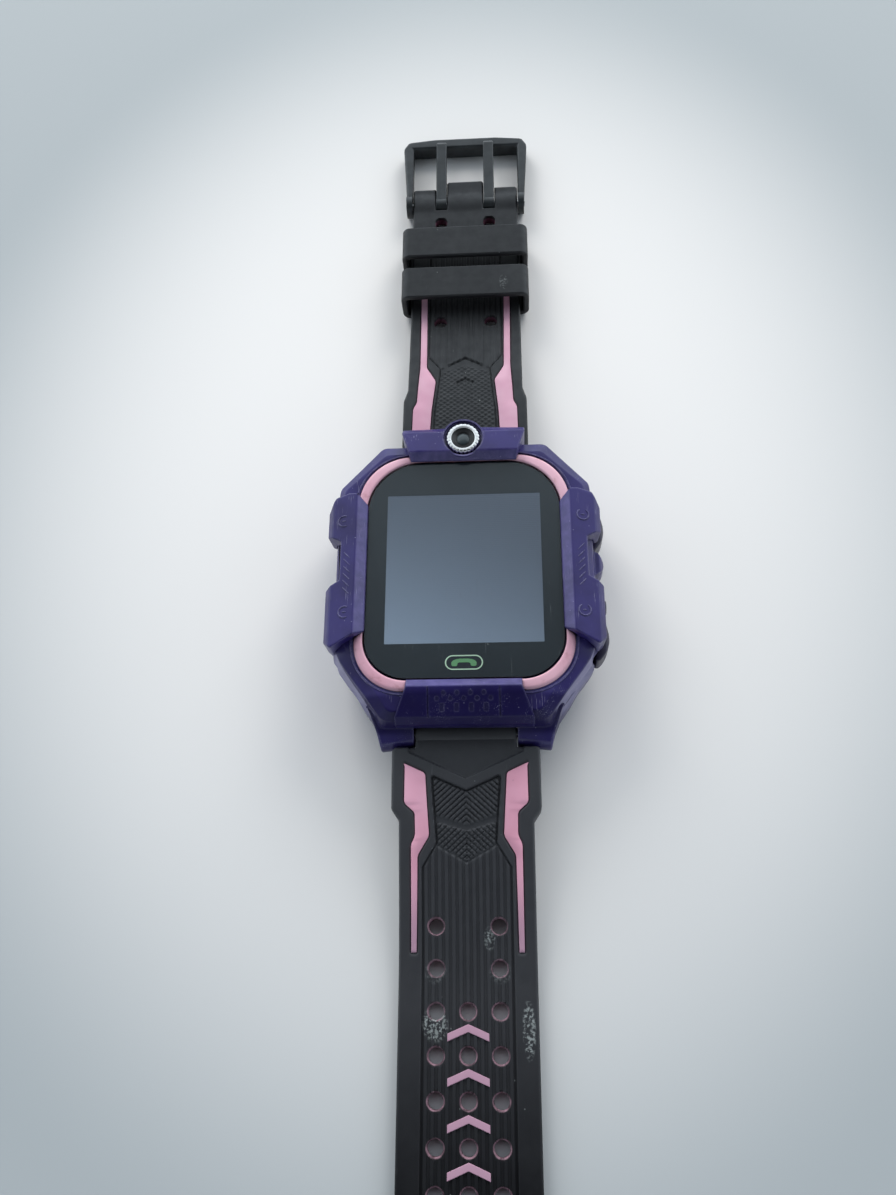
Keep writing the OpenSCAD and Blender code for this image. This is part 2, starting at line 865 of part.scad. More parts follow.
module camera_flex() {
    color([0.75, 0.5, 0.15])
    union() {
        block([-flex_w / 2, flex_leg_y, module_z],
              [flex_w / 2, camera_up - module_l / 2 - seat, module_z + flex_t]);
        block([-flex_w / 2, flex_leg_y, board_top + seat],
              [flex_w / 2, flex_leg_y + flex_t, module_z + flex_t]);
    }
}

function grille_top(y) = deck_z + grille_rise - (y - grille_ridge) * grille_fall_share;

module speaker_hood() {
    inner = glass_l / 2 + ease;
    lip = ring_top + 2 * ease;
    low = case_down + ease;
    base_w = grille_w + 2 * grille_flare;
    shoulder = case_down - grille_foot;
    wall = 0.9;
    skirt_drop = 1.7;
    skirt_z = brow_z - skirt_drop;
    chamber_w = channel_w;
    chamber_up = channel_y - channel_l / 2;
    chamber_back = 2.6;
    back_a = 4.15;
    back_b = 3.35;
    back_c = 2.1;
    chamber_down = case_down - chamber_back;
    row_a = case_down - back_a;
    row_b = case_down - back_b;
    row_c = case_down - back_c;
    hole_spread = 2.08;
    slot_spread = 2.3;
    slot_l = 1.1;
    slot_deep = 0.5;
    color([0.18, 0.15, 0.36])
    difference() {
        intersection() {
            across(base_w, [[-inner, skirt_z], [-inner, lip], [-grille_ridge, grille_top(grille_ridge)],
                            [-shoulder, grille_top(shoulder)], [-low, brow_z], [-low, skirt_z]]);
            translate([0, 0, skirt_z - over])
                linear_extrude(deck_z)
                    polygon(both_sides([[base_w / 2, -low], [base_w / 2, -shoulder],
                                        [grille_w / 2, -grille_ridge], [grille_w / 2, -inner]]));
        }
        deck_cut();
        across(chamber_w, [[-chamber_up, skirt_z], [-chamber_up, grille_top(chamber_up) - wall],
                           [-chamber_down, grille_top(chamber_down) - wall], [-chamber_down, skirt_z]]);
        for (i = [-1.5:1:1.5])
            translate([i * hole_spread, -row_a, deck_z])
                cylinder(d = grille_hole_d, h = deck_z, $fn = 20);
        for (i = [-2:1:2])
            translate([i * hole_spread, -row_b, deck_z])
                cylinder(d = grille_hole_d, h = deck_z, $fn = 20);
        for (i = [-1.5:1:1.5])
            block([i * slot_spread - grille_hole_d / 2, -row_c - slot_l / 2, grille_top(row_c) - slot_deep],
                  [i * slot_spread + grille_hole_d / 2, -row_c + slot_l / 2, grille_top(row_c) + over]);
    }
}

// Works

module speaker() {
    color([0.2, 0.2, 0.22])
    block([-speaker_w / 2, -speaker_y - speaker_l / 2, speaker_roof - speaker_gap - speaker_h],
          [speaker_w / 2, -speaker_y + speaker_l / 2, speaker_roof - speaker_gap]);
}

module microphone() {
    mic_r = 2;
    mic_h = 1.2;
    mic_in = 8.6;
    mic_back = 4.8;
    mic_x = cavity_w / 2 - mic_in;
    mic_y = cavity_l / 2 - mic_back;
    color([0.7, 0.7, 0.7])
    translate([mic_x, -mic_y, board_top + seat])
        cylinder(r = mic_r, h = mic_h);
}

module vibration_motor() {
    motor_r = 4;
    motor_in = 9.6;
    motor_drop = 1;
    motor_h = battery_t - motor_drop;
    motor_x = cavity_w / 2 - motor_in;
    motor_y = cavity_l / 2 - motor_r - battery_end;
    color([0.7, 0.7, 0.72])
    translate([-motor_x, motor_y, back_t + seat])
        cylinder(r = motor_r, h = motor_h);
}

module main_board() {
    color([0.1, 0.35, 0.2])
    difference() {
        plate(board_w, board_l, cavity_r - board_gap, board_z, board_t);
        four_corners()
            translate([0, 0, board_z - over])
                cylinder(d = boss_d + 2 * ease, h = board_t + 2 * over);
        block([port_x - slip, -cover_down - port_w / 2 - slip, board_z - over],
              [board_w, -cover_down + port_w / 2 + slip, board_top + over]);
    }
}

module shield_can() {
    can_x = 0.5;
    can_y = 0.5;
    can_side = 6.1;
    can_end = 3.3;
    can_w = cavity_w / 2 - can_side - can_x;
    can_l = cavity_l / 2 - can_end - can_y;
    color([0.75, 0.75, 0.77])
    block([can_x, can_y, board_top + seat], [can_x + can_w, can_y + can_l, board_top + seat + can_h]);
}

module card_holder() {
    holder_side = 3.1;
    holder_end = 6.8;
    holder_gap = 1.5;
    holder_h = 1.5;
    holder_y = 2;
    holder_x = cavity_w / 2 - holder_side;
    holder_w = holder_x - holder_gap;
    holder_l = cavity_l / 2 - holder_end + holder_y;
    rail = 0.7;
    color([0.72, 0.72, 0.7])
    difference() {
        block([-holder_x, -holder_y, board_top + seat],
              [holder_w - holder_x, holder_l - holder_y, board_top + seat + holder_h]);
        block([rail - holder_x, -holder_y - over, board_top + seat + holder_h / 4],
              [holder_w - holder_x - rail, holder_l - holder_y - rail,
               board_top + seat + holder_h * 0.8]);
    }
}

module charge_port() {
    tongue_t = 0.5;
    color([0.78, 0.78, 0.8])
    difference() {
        block([port_x, -cover_down - port_w / 2, port_mid - port_h / 2],
              [port_x + port_l, -cover_down + port_w / 2, port_mid + port_h / 2]);
        difference() {
            translate([port_x + port_wall, -cover_down, port_mid])
                block([0, port_wall - port_w / 2, port_wall - port_h / 2],
                      [port_l + over, port_w / 2 - port_wall, port_h / 2 - port_wall]);
            block([port_x, -cover_down - port_w / 4, port_mid - tongue_t / 2],
                  [port_x + port_l * 0.8, -cover_down + port_w / 4, port_mid + tongue_t / 2]);
        }
    }
}

module antenna() {
    film_t = 0.2;
    film_end = 5.8;
    film_foot = 1.5;
    film_top = 1.5;
    film_l = cavity_l - 2 * film_end;
    film_z = back_t + film_foot;
    film_h = cavity_z - film_top - film_z;
    color([0.8, 0.55, 0.2])
    translate([slip - cavity_w / 2, -film_l / 2, film_z])
        cube([film_t, film_l, film_h]);
}

module battery() {
    color([0.75, 0.78, 0.8])
    translate([battery_x, battery_y, 0])
        plate(battery_w, battery_l, battery_r, battery_z, battery_t);
}

module side_switch(y) {
    color([0.6, 0.6, 0.62])
    block([switch_x - switch_w, y - switch_w / 2, board_top + seat],
          [switch_x, y + switch_w / 2, board_top + seat + switch_h]);
}

module upper_switch() {
    side_switch(button_up);
}

module lower_switch() {
    side_switch(-button_down);
}

// Side controls

module side_button(y) {
    inner = side_x - pocket_d + button_travel + slip;
    tip = switch_x + button_travel + slip;
    color([0.12, 0.1, 0.22])
    union() {
        side_bump(y, control_z, button_l, button_h, inner, side_x + button_out);
        translate([tip, y, stem_z])
            rotate([0, 90, 0])
                cylinder(r = stem_r, h = inner - tip + slip);
    }
}

module upper_button() {
    side_button(button_up);
}

module lower_button() {
    side_button(-button_down);
}

module port_cover() {
    knob_y = cover_down + cover_l / 2 - knob_r;
    color([0.12, 0.1, 0.22])
    union() {
        block([side_x - cover_t, -cover_down - cover_l / 2, port_mid - cover_h / 2],
              [side_x, -cover_down + cover_l / 2, port_mid + cover_h / 2]);
        translate([side_x - cover_t / 2, -knob_y, port_mid])
            rotate([0, 90, 0])
                cylinder(r = knob_r, h = knob_out);
        translate([side_x - cover_t / 2 + knob_out, -knob_y, port_mid])
            rotate([0, 90, 0])
                cylinder(r1 = knob_r, r2 = knob_r - knob_edge, h = knob_edge);
        block([side_x - cover_t - nub_l, -cover_down - nub_w / 2, port_mid - nub_h / 2],
              [side_x - cover_t / 2, -cover_down + nub_w / 2, port_mid + nub_h / 2]);
    }
}

module upper_spring_bar() {
    color([0.7, 0.7, 0.7])
    cross_bar(bar_r, upper_bar_l, bar_up, bar_z);
}

module lower_spring_bar() {
    color([0.7, 0.7, 0.7])
    cross_bar(bar_r, lower_bar_l, -bar_down, bar_z);
}

// Straps

function ramp(s, from, to) =
    s <= from ? 1 : s >= to ? 0 : (1 + cos(180 * (s - from) / (to - from))) / 2;

// Height of a strap's upper and lower face at a distance s from its bar, lying at a height rest
function top_at(s, rest) =
    rest + strap_t + (bar_z + root_up - rest - strap_t) * ramp(s, ramp_start, ramp_end);
function under_at(s, rest) = rest + (bar_z - root_down - rest) * ramp(s, belly_start, belly_end);

function stations(far) = concat([for (i = [0:ramp_steps]) ramp_end * i / ramp_steps], [far]);

// Side view of a strap, out to far
function strap_side(far, rest, way, bar_at) =
    concat([for (s = stations(far)) [way * (bar_at + s), top_at(s, rest)]],
           [for (i = [ramp_steps + 1:-1:0])
               let (s = stations(far)[i]) [way * (bar_at + s), under_at(s, rest)]]);

// Side view of the strap's upper skin, between two depths below its face
function strap_skin(far, rest, way, bar_at, high, deep) =
    concat([for (s = stations(far)) [way * (bar_at + s), top_at(s, rest) + high]],
           [for (i = [ramp_steps + 1:-1:0])
               let (s = stations(far)[i]) [way * (bar_at + s), top_at(s, rest) - deep]]);

module plan(points, shrink = 0) {
    linear_extrude(deck_z)
        offset(delta = -shrink)
            polygon(points);
}

module long_skin(high, deep) {
    across(shoulder_w, strap_skin(long_l, 0, -1, bar_down, high, deep));
}

function long_outline() =
    let (w = strap_w / 2, y = -bar_down)
    both_sides(concat([[tongue_w / 2, y], [tongue_w / 2, y - shoulder_start],
                       [shoulder_w / 2, y - shoulder_start], [shoulder_w / 2, y - shoulder_end],
                       [w, y - shoulder_end - shoulder_slope]],
                      [for (i = [0:tip_steps - 1])
                          [w * cos(90 * i / tip_steps),
                           y - long_l + tip_l * (1 - sin(90 * i / tip_steps))]]));

// Half outlines as shares of half the strap's width and of the inlay's reach from the bar
long_inlay_shares = [[0.914, 0.160], [0.610, 0.205], [0.552, 0.491], [0.724, 0.578], [0.743, 1],
    [0.819, 1], [0.819, 0.530], [0.757, 0.491], [0.762, 0.386], [0.919, 0.343]];
short_inlay_shares = [[0.604, 0.158], [0.577, 0.330], [0.517, 0.512], [0.682, 0.600], [0.702, 1],
    [0.810, 1], [0.796, 0.600], [0.827, 0.489], [0.900, 0.363], [0.904, 0.158]];

function traced(shares, reach, from, way) =
    [for (p = shares) [p[0] * strap_w / 2, way * (from + p[1] * reach)]];

module long_inlay_pair(shrink, high, deep) {
    intersection() {
        long_skin(high, deep);
        both_hands()
            plan(traced(long_inlay_shares, long_inlay_l, bar_down, -1), shrink);
    }
}

module both_hands() {
    children();
    mirror([1, 0, 0])
        children();
}

module long_hole(row, x) {
    translate([x, -bar_down - first_hole - row * hole_pitch, -over])
        cylinder(d = hole_d, h = strap_t + 2 * over + bar_z);
}

module long_strap() {
    color([0.2, 0.21, 0.22])
    difference() {
        union() {
            intersection() {
                across(shoulder_w, strap_side(long_l, 0, -1, bar_down));
                plan(long_outline());
            }
            cross_bar(knuckle_r, tongue_w, -bar_down, bar_z);
        }
        cross_bar(bar_r + run_gap, tongue_w + 2 * over, -bar_down, bar_z);
        long_inlay_pair(0, over, inlay_t);
        intersection() {
            long_skin(over, field_t);
            plan(both_sides([[field_neck / 2, -bar_down - neck_back],
                             [field_w / 2, -bar_down - neck_back - field_flare],
                             [field_w / 2, -bar_down - long_l + field_end]]));
        }
        for (row = [0:hole_rows - 1]) {
            long_hole(row, -hole_gap / 2);
            long_hole(row, hole_gap / 2);
            if (row >= plain_rows)
                long_hole(row, 0);
        }
    }
}

module long_inlays() {
    color([0.84, 0.62, 0.72])
    long_inlay_pair(seat, 0, inlay_t - seat);
}

// A row of chevrons between the middle holes
module long_motif() {
    color([0.84, 0.62, 0.72])
    for (row = [plain_rows:hole_rows - 2])
        translate([0, -bar_down - first_hole - (row + 0.5) * hole_pitch, strap_t - field_t])
            linear_extrude(field_t)
                polygon(both_sides([[0, motif_dip], [motif_w / 2, 0], [motif_w / 2, -motif_t],
                                    [0, motif_dip - motif_t]]));
}

function short_outline() =
    let (w = strap_w / 2, y = bar_up, root = short_root_w / 2)
    both_sides([[root, y], [root, y + short_shoulder_end],
                [w, y + short_shoulder_end + short_shoulder_slope],
                [w, buckle_y + strap_end], [prong_gap / 2, buckle_y + strap_end],
                [prong_gap / 2, buckle_y + tongue_end]]);

module short_inlay_pair(shrink, high, deep) {
    intersection() {
        across(short_root_w, strap_skin(short_l, lift, 1, bar_up, high, deep));
        both_hands()
            plan(traced(short_inlay_shares, short_inlay_l, bar_up, 1), shrink);
    }
}

module short_strap() {
    slot = prong_w / 2 + slot_gap;
    color([0.2, 0.21, 0.22])
    difference() {
        union() {
            intersection() {
                across(short_root_w, strap_side(short_l + tongue_end, lift, 1, bar_up));
                plan(short_outline());
            }
            cross_bar(knuckle_r, short_root_w, bar_up, bar_z);
            cross_bar(end_r, strap_w, buckle_y, buckle_z);
        }
        cross_bar(bar_r + run_gap, short_root_w + 2 * over, bar_up, bar_z);
        cross_bar(buckle_bar_r + run_gap, strap_w + 2 * over, buckle_y, buckle_z);
        short_inlay_pair(0, over, inlay_t);
        both_hands() {
            block([prong_gap / 2 - slot, buckle_y - prong_eye_r - slot_gap, -over],
                  [prong_gap / 2 + slot, buckle_y + tongue_end + over, bar_z + over]);
            for (back = [hole_back_a, hole_back_b])
                translate([hole_gap / 2, buckle_y - back, -over])
                    cylinder(d = hole_d, h = bar_z + over);
        }
    }
}

module short_inlays() {
    color([0.84, 0.62, 0.72])
    short_inlay_pair(seat, 0, inlay_t - seat);
}

// Keepers

module keeper(y) {
    color([0.13, 0.14, 0.15])
    translate([0, y + keeper_l, keeper_h / 2])
        rotate([90, 0, 0])
            linear_extrude(keeper_l)
                difference() {
                    polygon(rounded(keeper_w, keeper_h, keeper_r, 6));
                    polygon(rounded(keeper_w - 2 * keeper_t, keeper_h - 2 * keeper_t, keeper_in_r, 6));
                }
}

module front_keeper() {
    keeper(front_keeper_y);
}

module rear_keeper() {
    keeper(rear_keeper_y);
}

// Buckle

module buckle_frame() {
    inner = buckle_w / 2 - buckle_side;
    far = buckle_y + buckle_l;
    color([0.12, 0.12, 0.13])
    difference() {
        union() {
            linear_extrude(buckle_t)
                polygon(concat(both_sides([[inner, buckle_y], [buckle_w / 2, buckle_y],
                                           [buckle_w / 2, far - 2 * buckle_arch],
                                           [buckle_w / 2 - buckle_arch, far - buckle_arch / 2],
                                           [buckle_w / 4, far]]),
                               [[-inner, far - buckle_top], [inner, far - buckle_top]]));
            both_hands()
                translate([inner, buckle_y, buckle_z])
                    rotate([0, 90, 0])
                        cylinder(r = eye_r, h = buckle_side);
        }
        cross_bar(buckle_bar_r + seat, 2 * (inner + bar_hold + slip), buckle_y, buckle_z);
    }
}

module buckle_bar() {
    color([0.6, 0.6, 0.62])
    cross_bar(buckle_bar_r, buckle_w - 2 * buckle_side + 2 * bar_hold, buckle_y, buckle_z);
}

module prong(x) {
    tip_y = buckle_y + buckle_l - buckle_top + tip_over;
    rest = buckle_t + seat;
    color([0.12, 0.12, 0.13])
    translate([x, 0, 0])
        difference() {
            union() {
                cross_bar(prong_eye_r, prong_w, buckle_y, buckle_z);
                across(prong_w, [[buckle_y, buckle_z - prong_t / 2], [tip_y - 2 * tip_over, rest],
                                 [tip_y, rest], [tip_y, rest + prong_t / 2],
                                 [tip_y - tip_over, rest + prong_t], [buckle_y, buckle_z + prong_t]]);
            }
            cross_bar(buckle_bar_r + run_gap, prong_w + 2 * over, buckle_y, buckle_z);
        }
}

module left_prong() {
    prong(-prong_gap / 2);
}

module right_prong() {
    prong(prong_gap / 2);
}

case_shell();
back_cover();
back_gasket();
back_screws();
bezel_ring();
front_glass();
border_print();
call_key();
display_panel();
display_frame();
left_guard();
right_guard();
camera_hood();
camera_ring();
camera_barrel();
camera_lens();
camera_module();
camera_flex();
speaker_hood();
speaker();
microphone();
vibration_motor();
main_board();
shield_can();
card_holder();
charge_port();
antenna();
battery();
upper_switch();
lower_switch();
upper_button();
lower_button();
port_cover();
upper_spring_bar();
lower_spring_bar();
long_strap();
long_inlays();
long_motif();
short_strap();
short_inlays();
front_keeper();
rear_keeper();
buckle_frame();
buckle_bar();
left_prong();
right_prong();
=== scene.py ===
import math

import bmesh
import bpy
import numpy as np
from mathutils import Matrix, Vector


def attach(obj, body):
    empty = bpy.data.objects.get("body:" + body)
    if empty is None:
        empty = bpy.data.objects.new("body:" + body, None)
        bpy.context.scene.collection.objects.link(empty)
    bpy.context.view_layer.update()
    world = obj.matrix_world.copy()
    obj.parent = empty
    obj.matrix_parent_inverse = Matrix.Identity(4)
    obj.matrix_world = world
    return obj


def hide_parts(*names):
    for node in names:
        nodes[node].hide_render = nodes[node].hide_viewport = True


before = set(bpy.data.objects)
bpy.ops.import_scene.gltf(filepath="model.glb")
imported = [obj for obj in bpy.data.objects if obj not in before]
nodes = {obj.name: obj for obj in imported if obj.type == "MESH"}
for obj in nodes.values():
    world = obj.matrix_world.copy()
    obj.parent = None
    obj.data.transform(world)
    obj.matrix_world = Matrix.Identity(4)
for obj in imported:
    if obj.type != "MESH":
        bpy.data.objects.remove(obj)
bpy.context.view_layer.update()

mm = 0.001


# Node tree helpers

def newFinish(name):
    finish = bpy.data.materials.new(name)
    finish.use_nodes = True
    tree = finish.node_tree
    return finish, tree, tree.nodes["Principled BSDF"]


def addNode(tree, kind, inputs=None, **settings):
    node = tree.nodes.new(kind)
    for key, value in settings.items():
        setattr(node, key, value)
    for key, value in (inputs or {}).items():
        if hasattr(value, "is_output"):
            tree.links.new(value, node.inputs[key])
        else:
            node.inputs[key].default_value = value
    return node


def calc(tree, operation, a, b=0.0, clamp=False):
    node = addNode(tree, "ShaderNodeMath", {0: a, 1: b}, operation=operation)
    node.use_clamp = clamp
    return node.outputs[0]


def times(tree, a, b):
    return calc(tree, "MULTIPLY", a, b)


def plus(tree, a, b, clamp=False):
    return calc(tree, "ADD", a, b, clamp)


def most(tree, a, b, clamp=False):
    return calc(tree, "MAXIMUM", a, b, clamp)


def size(tree, a):
    return calc(tree, "ABSOLUTE", a)


def blendColour(tree, share, a, b):
    node = addNode(tree, "ShaderNodeMix", {0: share, 6: a, 7: b}, data_type="RGBA")
    return node.outputs[2]


def spread(tree, value, low, high, toLow=0.0, toHigh=1.0):
    node = addNode(tree, "ShaderNodeMapRange", {0: value, 1: low, 2: high, 3: toLow, 4: toHigh},
                   interpolation_type="SMOOTHSTEP")
    return node.outputs[0]


def spreadMm(tree, value, limits, toLow=0.0, toHigh=1.0):
    return spread(tree, value, limits[0] * mm, limits[1] * mm, toLow, toHigh)


def objectPlace(tree, scale=(1, 1, 1), turn=0.0):
    place = addNode(tree, "ShaderNodeTexCoord").outputs["Object"]
    if scale == (1, 1, 1) and turn == 0.0:
        return place
    mapping = {"Vector": place, "Scale": scale, "Rotation": (0, 0, turn)}
    return addNode(tree, "ShaderNodeMapping", mapping).outputs[0]


def objectAxes(tree):
    return addNode(tree, "ShaderNodeSeparateXYZ", {0: objectPlace(tree)}).outputs


def noise(tree, scale, detail=3.0, place=None, rough=0.55):
    inputs = {"Scale": scale, "Detail": detail, "Roughness": rough, "Vector": place or objectPlace(tree)}
    return addNode(tree, "ShaderNodeTexNoise", inputs).outputs["Fac"]


def hairlines(tree, turn, across, along, low, high):
    # fine scratches: noise drawn out along one direction, cut high
    place = objectPlace(tree, (across, along, across), turn)
    lines = noise(tree, 1.0, 2.0, place)
    patches = noise(tree, 260.0, 2.0)
    return times(tree, spread(tree, lines, low, high), spread(tree, patches, 0.5, 0.62))


def specks(tree, scale, radius, share):
    # round dust specks: the middles of some Voronoi cells
    cells = addNode(tree, "ShaderNodeTexVoronoi", {"Scale": scale, "Vector": objectPlace(tree)})
    spot = spread(tree, cells.outputs["Distance"], radius, radius * 0.5)
    pick = addNode(tree, "ShaderNodeSeparateColor", {0: cells.outputs["Color"]}).outputs[0]
    return times(tree, spot, calc(tree, "LESS_THAN", pick, share))


def oval(tree, axes, x, y, wide, long):
    # 0 at the middle of an oval patch, 1 on its rim
    dx = times(tree, calc(tree, "SUBTRACT", axes[0], x), 1 / wide)
    dy = times(tree, calc(tree, "SUBTRACT", axes[1], y), 1 / long)
    return plus(tree, times(tree, dx, dx), times(tree, dy, dy))


def bump(tree, shader, height, strength, distance):
    node = addNode(tree, "ShaderNodeBump", {"Height": height, "Strength": strength, "Distance": distance})
    tree.links.new(node.outputs[0], shader.inputs["Normal"])


def edgeMask(tree, radius, low, high):
    # how far the surface turns within a small radius: the worn edges, which also stand in for painted highlight lines
    # along the ridges
    soft = addNode(tree, "ShaderNodeBevel", {"Radius": radius}, samples=6).outputs[0]
    normal = addNode(tree, "ShaderNodeNewGeometry").outputs["Normal"]
    same = addNode(tree, "ShaderNodeVectorMath", {0: soft, 1: normal}, operation="DOT_PRODUCT").outputs["Value"]
    return spread(tree, same, high, low)


# Finishes

purpleLook = {"colour": (0.027, 0.019, 0.128, 1), "deep": (0.016, 0.010, 0.080, 1), "worn": (0.42, 0.40, 0.58, 1),
              "paintedBevelSheen": (0.26, 0.22, 0.50, 1), "shade": (0.011, 0.008, 0.050, 1), "rough": 0.34,
              "edgeRadius": 0.00045, "cloudScale": 120.0, "chipScale": 1500.0, "grainScale": 5200.0,
              "scratchShare": 0.6, "edgeShare": 0.32, "dotShare": 0.6, "shadeShare": 0.75, "shadedEdges": 0.45,
              "shadedGloss": 0.2}
dustLook = dict(purpleLook, colour=(0.050, 0.044, 0.130, 1), deep=(0.024, 0.018, 0.085, 1),
                worn=(0.09, 0.08, 0.19, 1), rough=0.5, edgeRadius=0.0003)
# places on the case in mm, each faded from the first number to the second
caseZones = {"sheenX": (17.7, 17.45), "sheenY": (20.95, 20.7), "sheenZ": (13.15, 13.35), "sheenShare": (0.10, 0.26),
             "wallTilt": (0.45, 0.25), "wallX": (14.0, 14.4), "wallNear": (-13.0, -15.0), "wallFar": (-25.0, -22.5),
             "wallZ": (5.0, 8.5), "wallShare": (0.15, 0.48), "shadeNear": (-20.9, -22.2), "shadeFar": (-27.2, -26.0)}
pinkLook = {"colour": (0.62, 0.36, 0.46, 1), "deep": (0.54, 0.27, 0.37, 1), "dirt": (0.22, 0.10, 0.11, 1),
            "gap": (0.02, 0.010, 0.014, 1), "gapReach": 0.0008}
ringPinkLook = dict(pinkLook, colour=(0.74, 0.44, 0.53, 1), deep=(0.66, 0.35, 0.44, 1), dirt=(0.34, 0.12, 0.12, 1))
longPinkLook = dict(pinkLook, colour=(0.90, 0.46, 0.60, 1), deep=(0.80, 0.37, 0.49, 1), dirt=(0.30, 0.10, 0.14, 1),
                    dull=(0.50, 0.29, 0.39, 1), dullFrom=(-0.047, -0.058))
siliconeLook = {"colour": (0.0085, 0.0090, 0.0105, 1), "near": (0.0410, 0.0420, 0.0480, 1),
                "far": (0.0038, 0.0038, 0.0048, 1), "nearFrom": (-0.105, -0.045), "shineFrom": (-0.110, -0.050),
                "shine": (0.07, 0.5), "pinkRim": (0.42, 0.25, 0.31, 1), "pinkWall": (0.17, 0.06, 0.10, 1),
                "rimShare": 0.75, "dusty": (0.05, 0.052, 0.055, 1), "chalk": (0.30, 0.33, 0.33, 1), "rough": 0.52}


def purplePlastic(name, look):
    finish, tree, shader = newFinish(name)
    zone, axes = caseZones, objectAxes(tree)
    away, upY = size(tree, axes[0]), axes[1]
    cloud = spread(tree, noise(tree, look["cloudScale"], 4.0), 0.35, 0.7)
    base = blendColour(tree, cloud, look["colour"], look["deep"])
    scratches = most(tree, hairlines(tree, 0.7, 9000.0, 260.0, 0.65, 0.73),
                     hairlines(tree, -0.9, 8000.0, 200.0, 0.66, 0.74))
    dots = most(tree, specks(tree, 900.0, 0.10, 0.07), specks(tree, 1900.0, 0.16, 0.06))
    # painted shade: the lower part of the case round the speaker is painted darker, with weaker gloss and fewer worn
    # edges, where its faces turn away from the light
    shade = times(tree, spreadMm(tree, upY, zone["shadeNear"]), spreadMm(tree, upY, zone["shadeFar"]))
    chips = spread(tree, noise(tree, look["chipScale"], 3.0), 0.38, 0.6, 0.35, 1.0)
    chips = times(tree, chips, spread(tree, shade, 0.0, 1.0, 1.0, look["shadedEdges"]))
    # worn pale edges, which also serve as painted highlight lines along the ridges
    edges = times(tree, edgeMask(tree, look["edgeRadius"], 0.90, 0.993), chips)
    wearAndSheen = most(tree, times(tree, scratches, look["scratchShare"]), times(tree, edges, look["edgeShare"]))
    wearAndSheen = most(tree, wearAndSheen, times(tree, dots, look["dotShare"]))
    # painted sheen: the bevels round the screen are painted a paler, mottled violet, standing in for the bright room
    # they mirror
    paintedBevelSheen = times(tree, spreadMm(tree, away, zone["sheenX"]), spreadMm(tree, size(tree, upY), zone["sheenY"]))
    paintedBevelSheen = times(tree, paintedBevelSheen, spreadMm(tree, axes[2], zone["sheenZ"]))
    paintedBevelSheen = times(tree, paintedBevelSheen, spread(tree, noise(tree, 700.0, 5.0), 0.3, 0.75, *zone["sheenShare"]))
    base = blendColour(tree, paintedBevelSheen, base, look["paintedBevelSheen"])
    # painted reflection: the steep walls at the two lower corners are painted pale, standing in for the bright table
    # they mirror
    facing = addNode(tree, "ShaderNodeNewGeometry").outputs["True Normal"]
    upright = addNode(tree, "ShaderNodeSeparateXYZ", {0: facing}).outputs[2]
    walls = times(tree, spread(tree, size(tree, upright), *zone["wallTilt"]), spreadMm(tree, upY, zone["wallNear"]))
    walls = times(tree, walls, spreadMm(tree, upY, zone["wallFar"]))
    walls = times(tree, walls, spreadMm(tree, axes[2], zone["wallZ"], *zone["wallShare"]))
    walls = times(tree, walls, spreadMm(tree, away, zone["wallX"]))
    wearAndSheen = plus(tree, wearAndSheen, walls, clamp=True)
    # painted shade round the speaker: darker colour and weaker gloss
    base = blendColour(tree, times(tree, shade, look["shadeShare"]), base, look["shade"])
    gloss = spread(tree, shade, 0.0, 1.0, 0.5, look["shadedGloss"])
    tree.links.new(gloss, shader.inputs["Specular IOR Level"])
    # the worn colour paints the wear, and the painted sheen of the walls and ridges as well
    tree.links.new(blendColour(tree, wearAndSheen, base, look["worn"]), shader.inputs["Base Color"])
    rough = spread(tree, noise(tree, 700.0, 4.0), 0.3, 0.7, look["rough"] - 0.05, look["rough"] + 0.07)
    tree.links.new(plus(tree, rough, times(tree, wearAndSheen, 0.2)), shader.inputs["Roughness"])
    bump(tree, shader, noise(tree, look["grainScale"], 2.0), 0.12, 0.00003)
    return finish


def pinkPlastic(name, look, rough, dirtAndShade=0.0):
    finish, tree, shader = newFinish(name)
    base = blendColour(tree, spread(tree, noise(tree, 90.0, 3.0), 0.35, 0.7), look["colour"], look["deep"])
    if "dull" in look:
        # greyer toward the holes
        base = blendColour(tree, spread(tree, objectAxes(tree)[1], *look["dullFrom"]), base, look["dull"])
    spots = times(tree, specks(tree, 420.0, 0.14, 0.10), spread(tree, noise(tree, 300.0), 0.35, 0.6))
    smear = times(tree, spread(tree, noise(tree, 500.0, 5.0), 0.56, 0.78), dirtAndShade)
    share = most(tree, times(tree, spots, 0.5), smear)
    if dirtAndShade:
        # dirt and painted shade: darker in the narrow gap along the glass and the guards, where little light reaches
        hollow = addNode(tree, "ShaderNodeAmbientOcclusion", {"Distance": look["gapReach"]}, samples=8).outputs["AO"]
        base = blendColour(tree, spread(tree, hollow, 0.72, 0.42), base, look["gap"])
    tree.links.new(blendColour(tree, share, base, look["dirt"]), shader.inputs["Base Color"])
    gloss = spread(tree, noise(tree, 900.0), 0.3, 0.7, rough - 0.05, rough + 0.08)
    tree.links.new(gloss, shader.inputs["Roughness"])
    bump(tree, shader, noise(tree, 4200.0, 2.0), 0.15, 0.00003)
    return finish


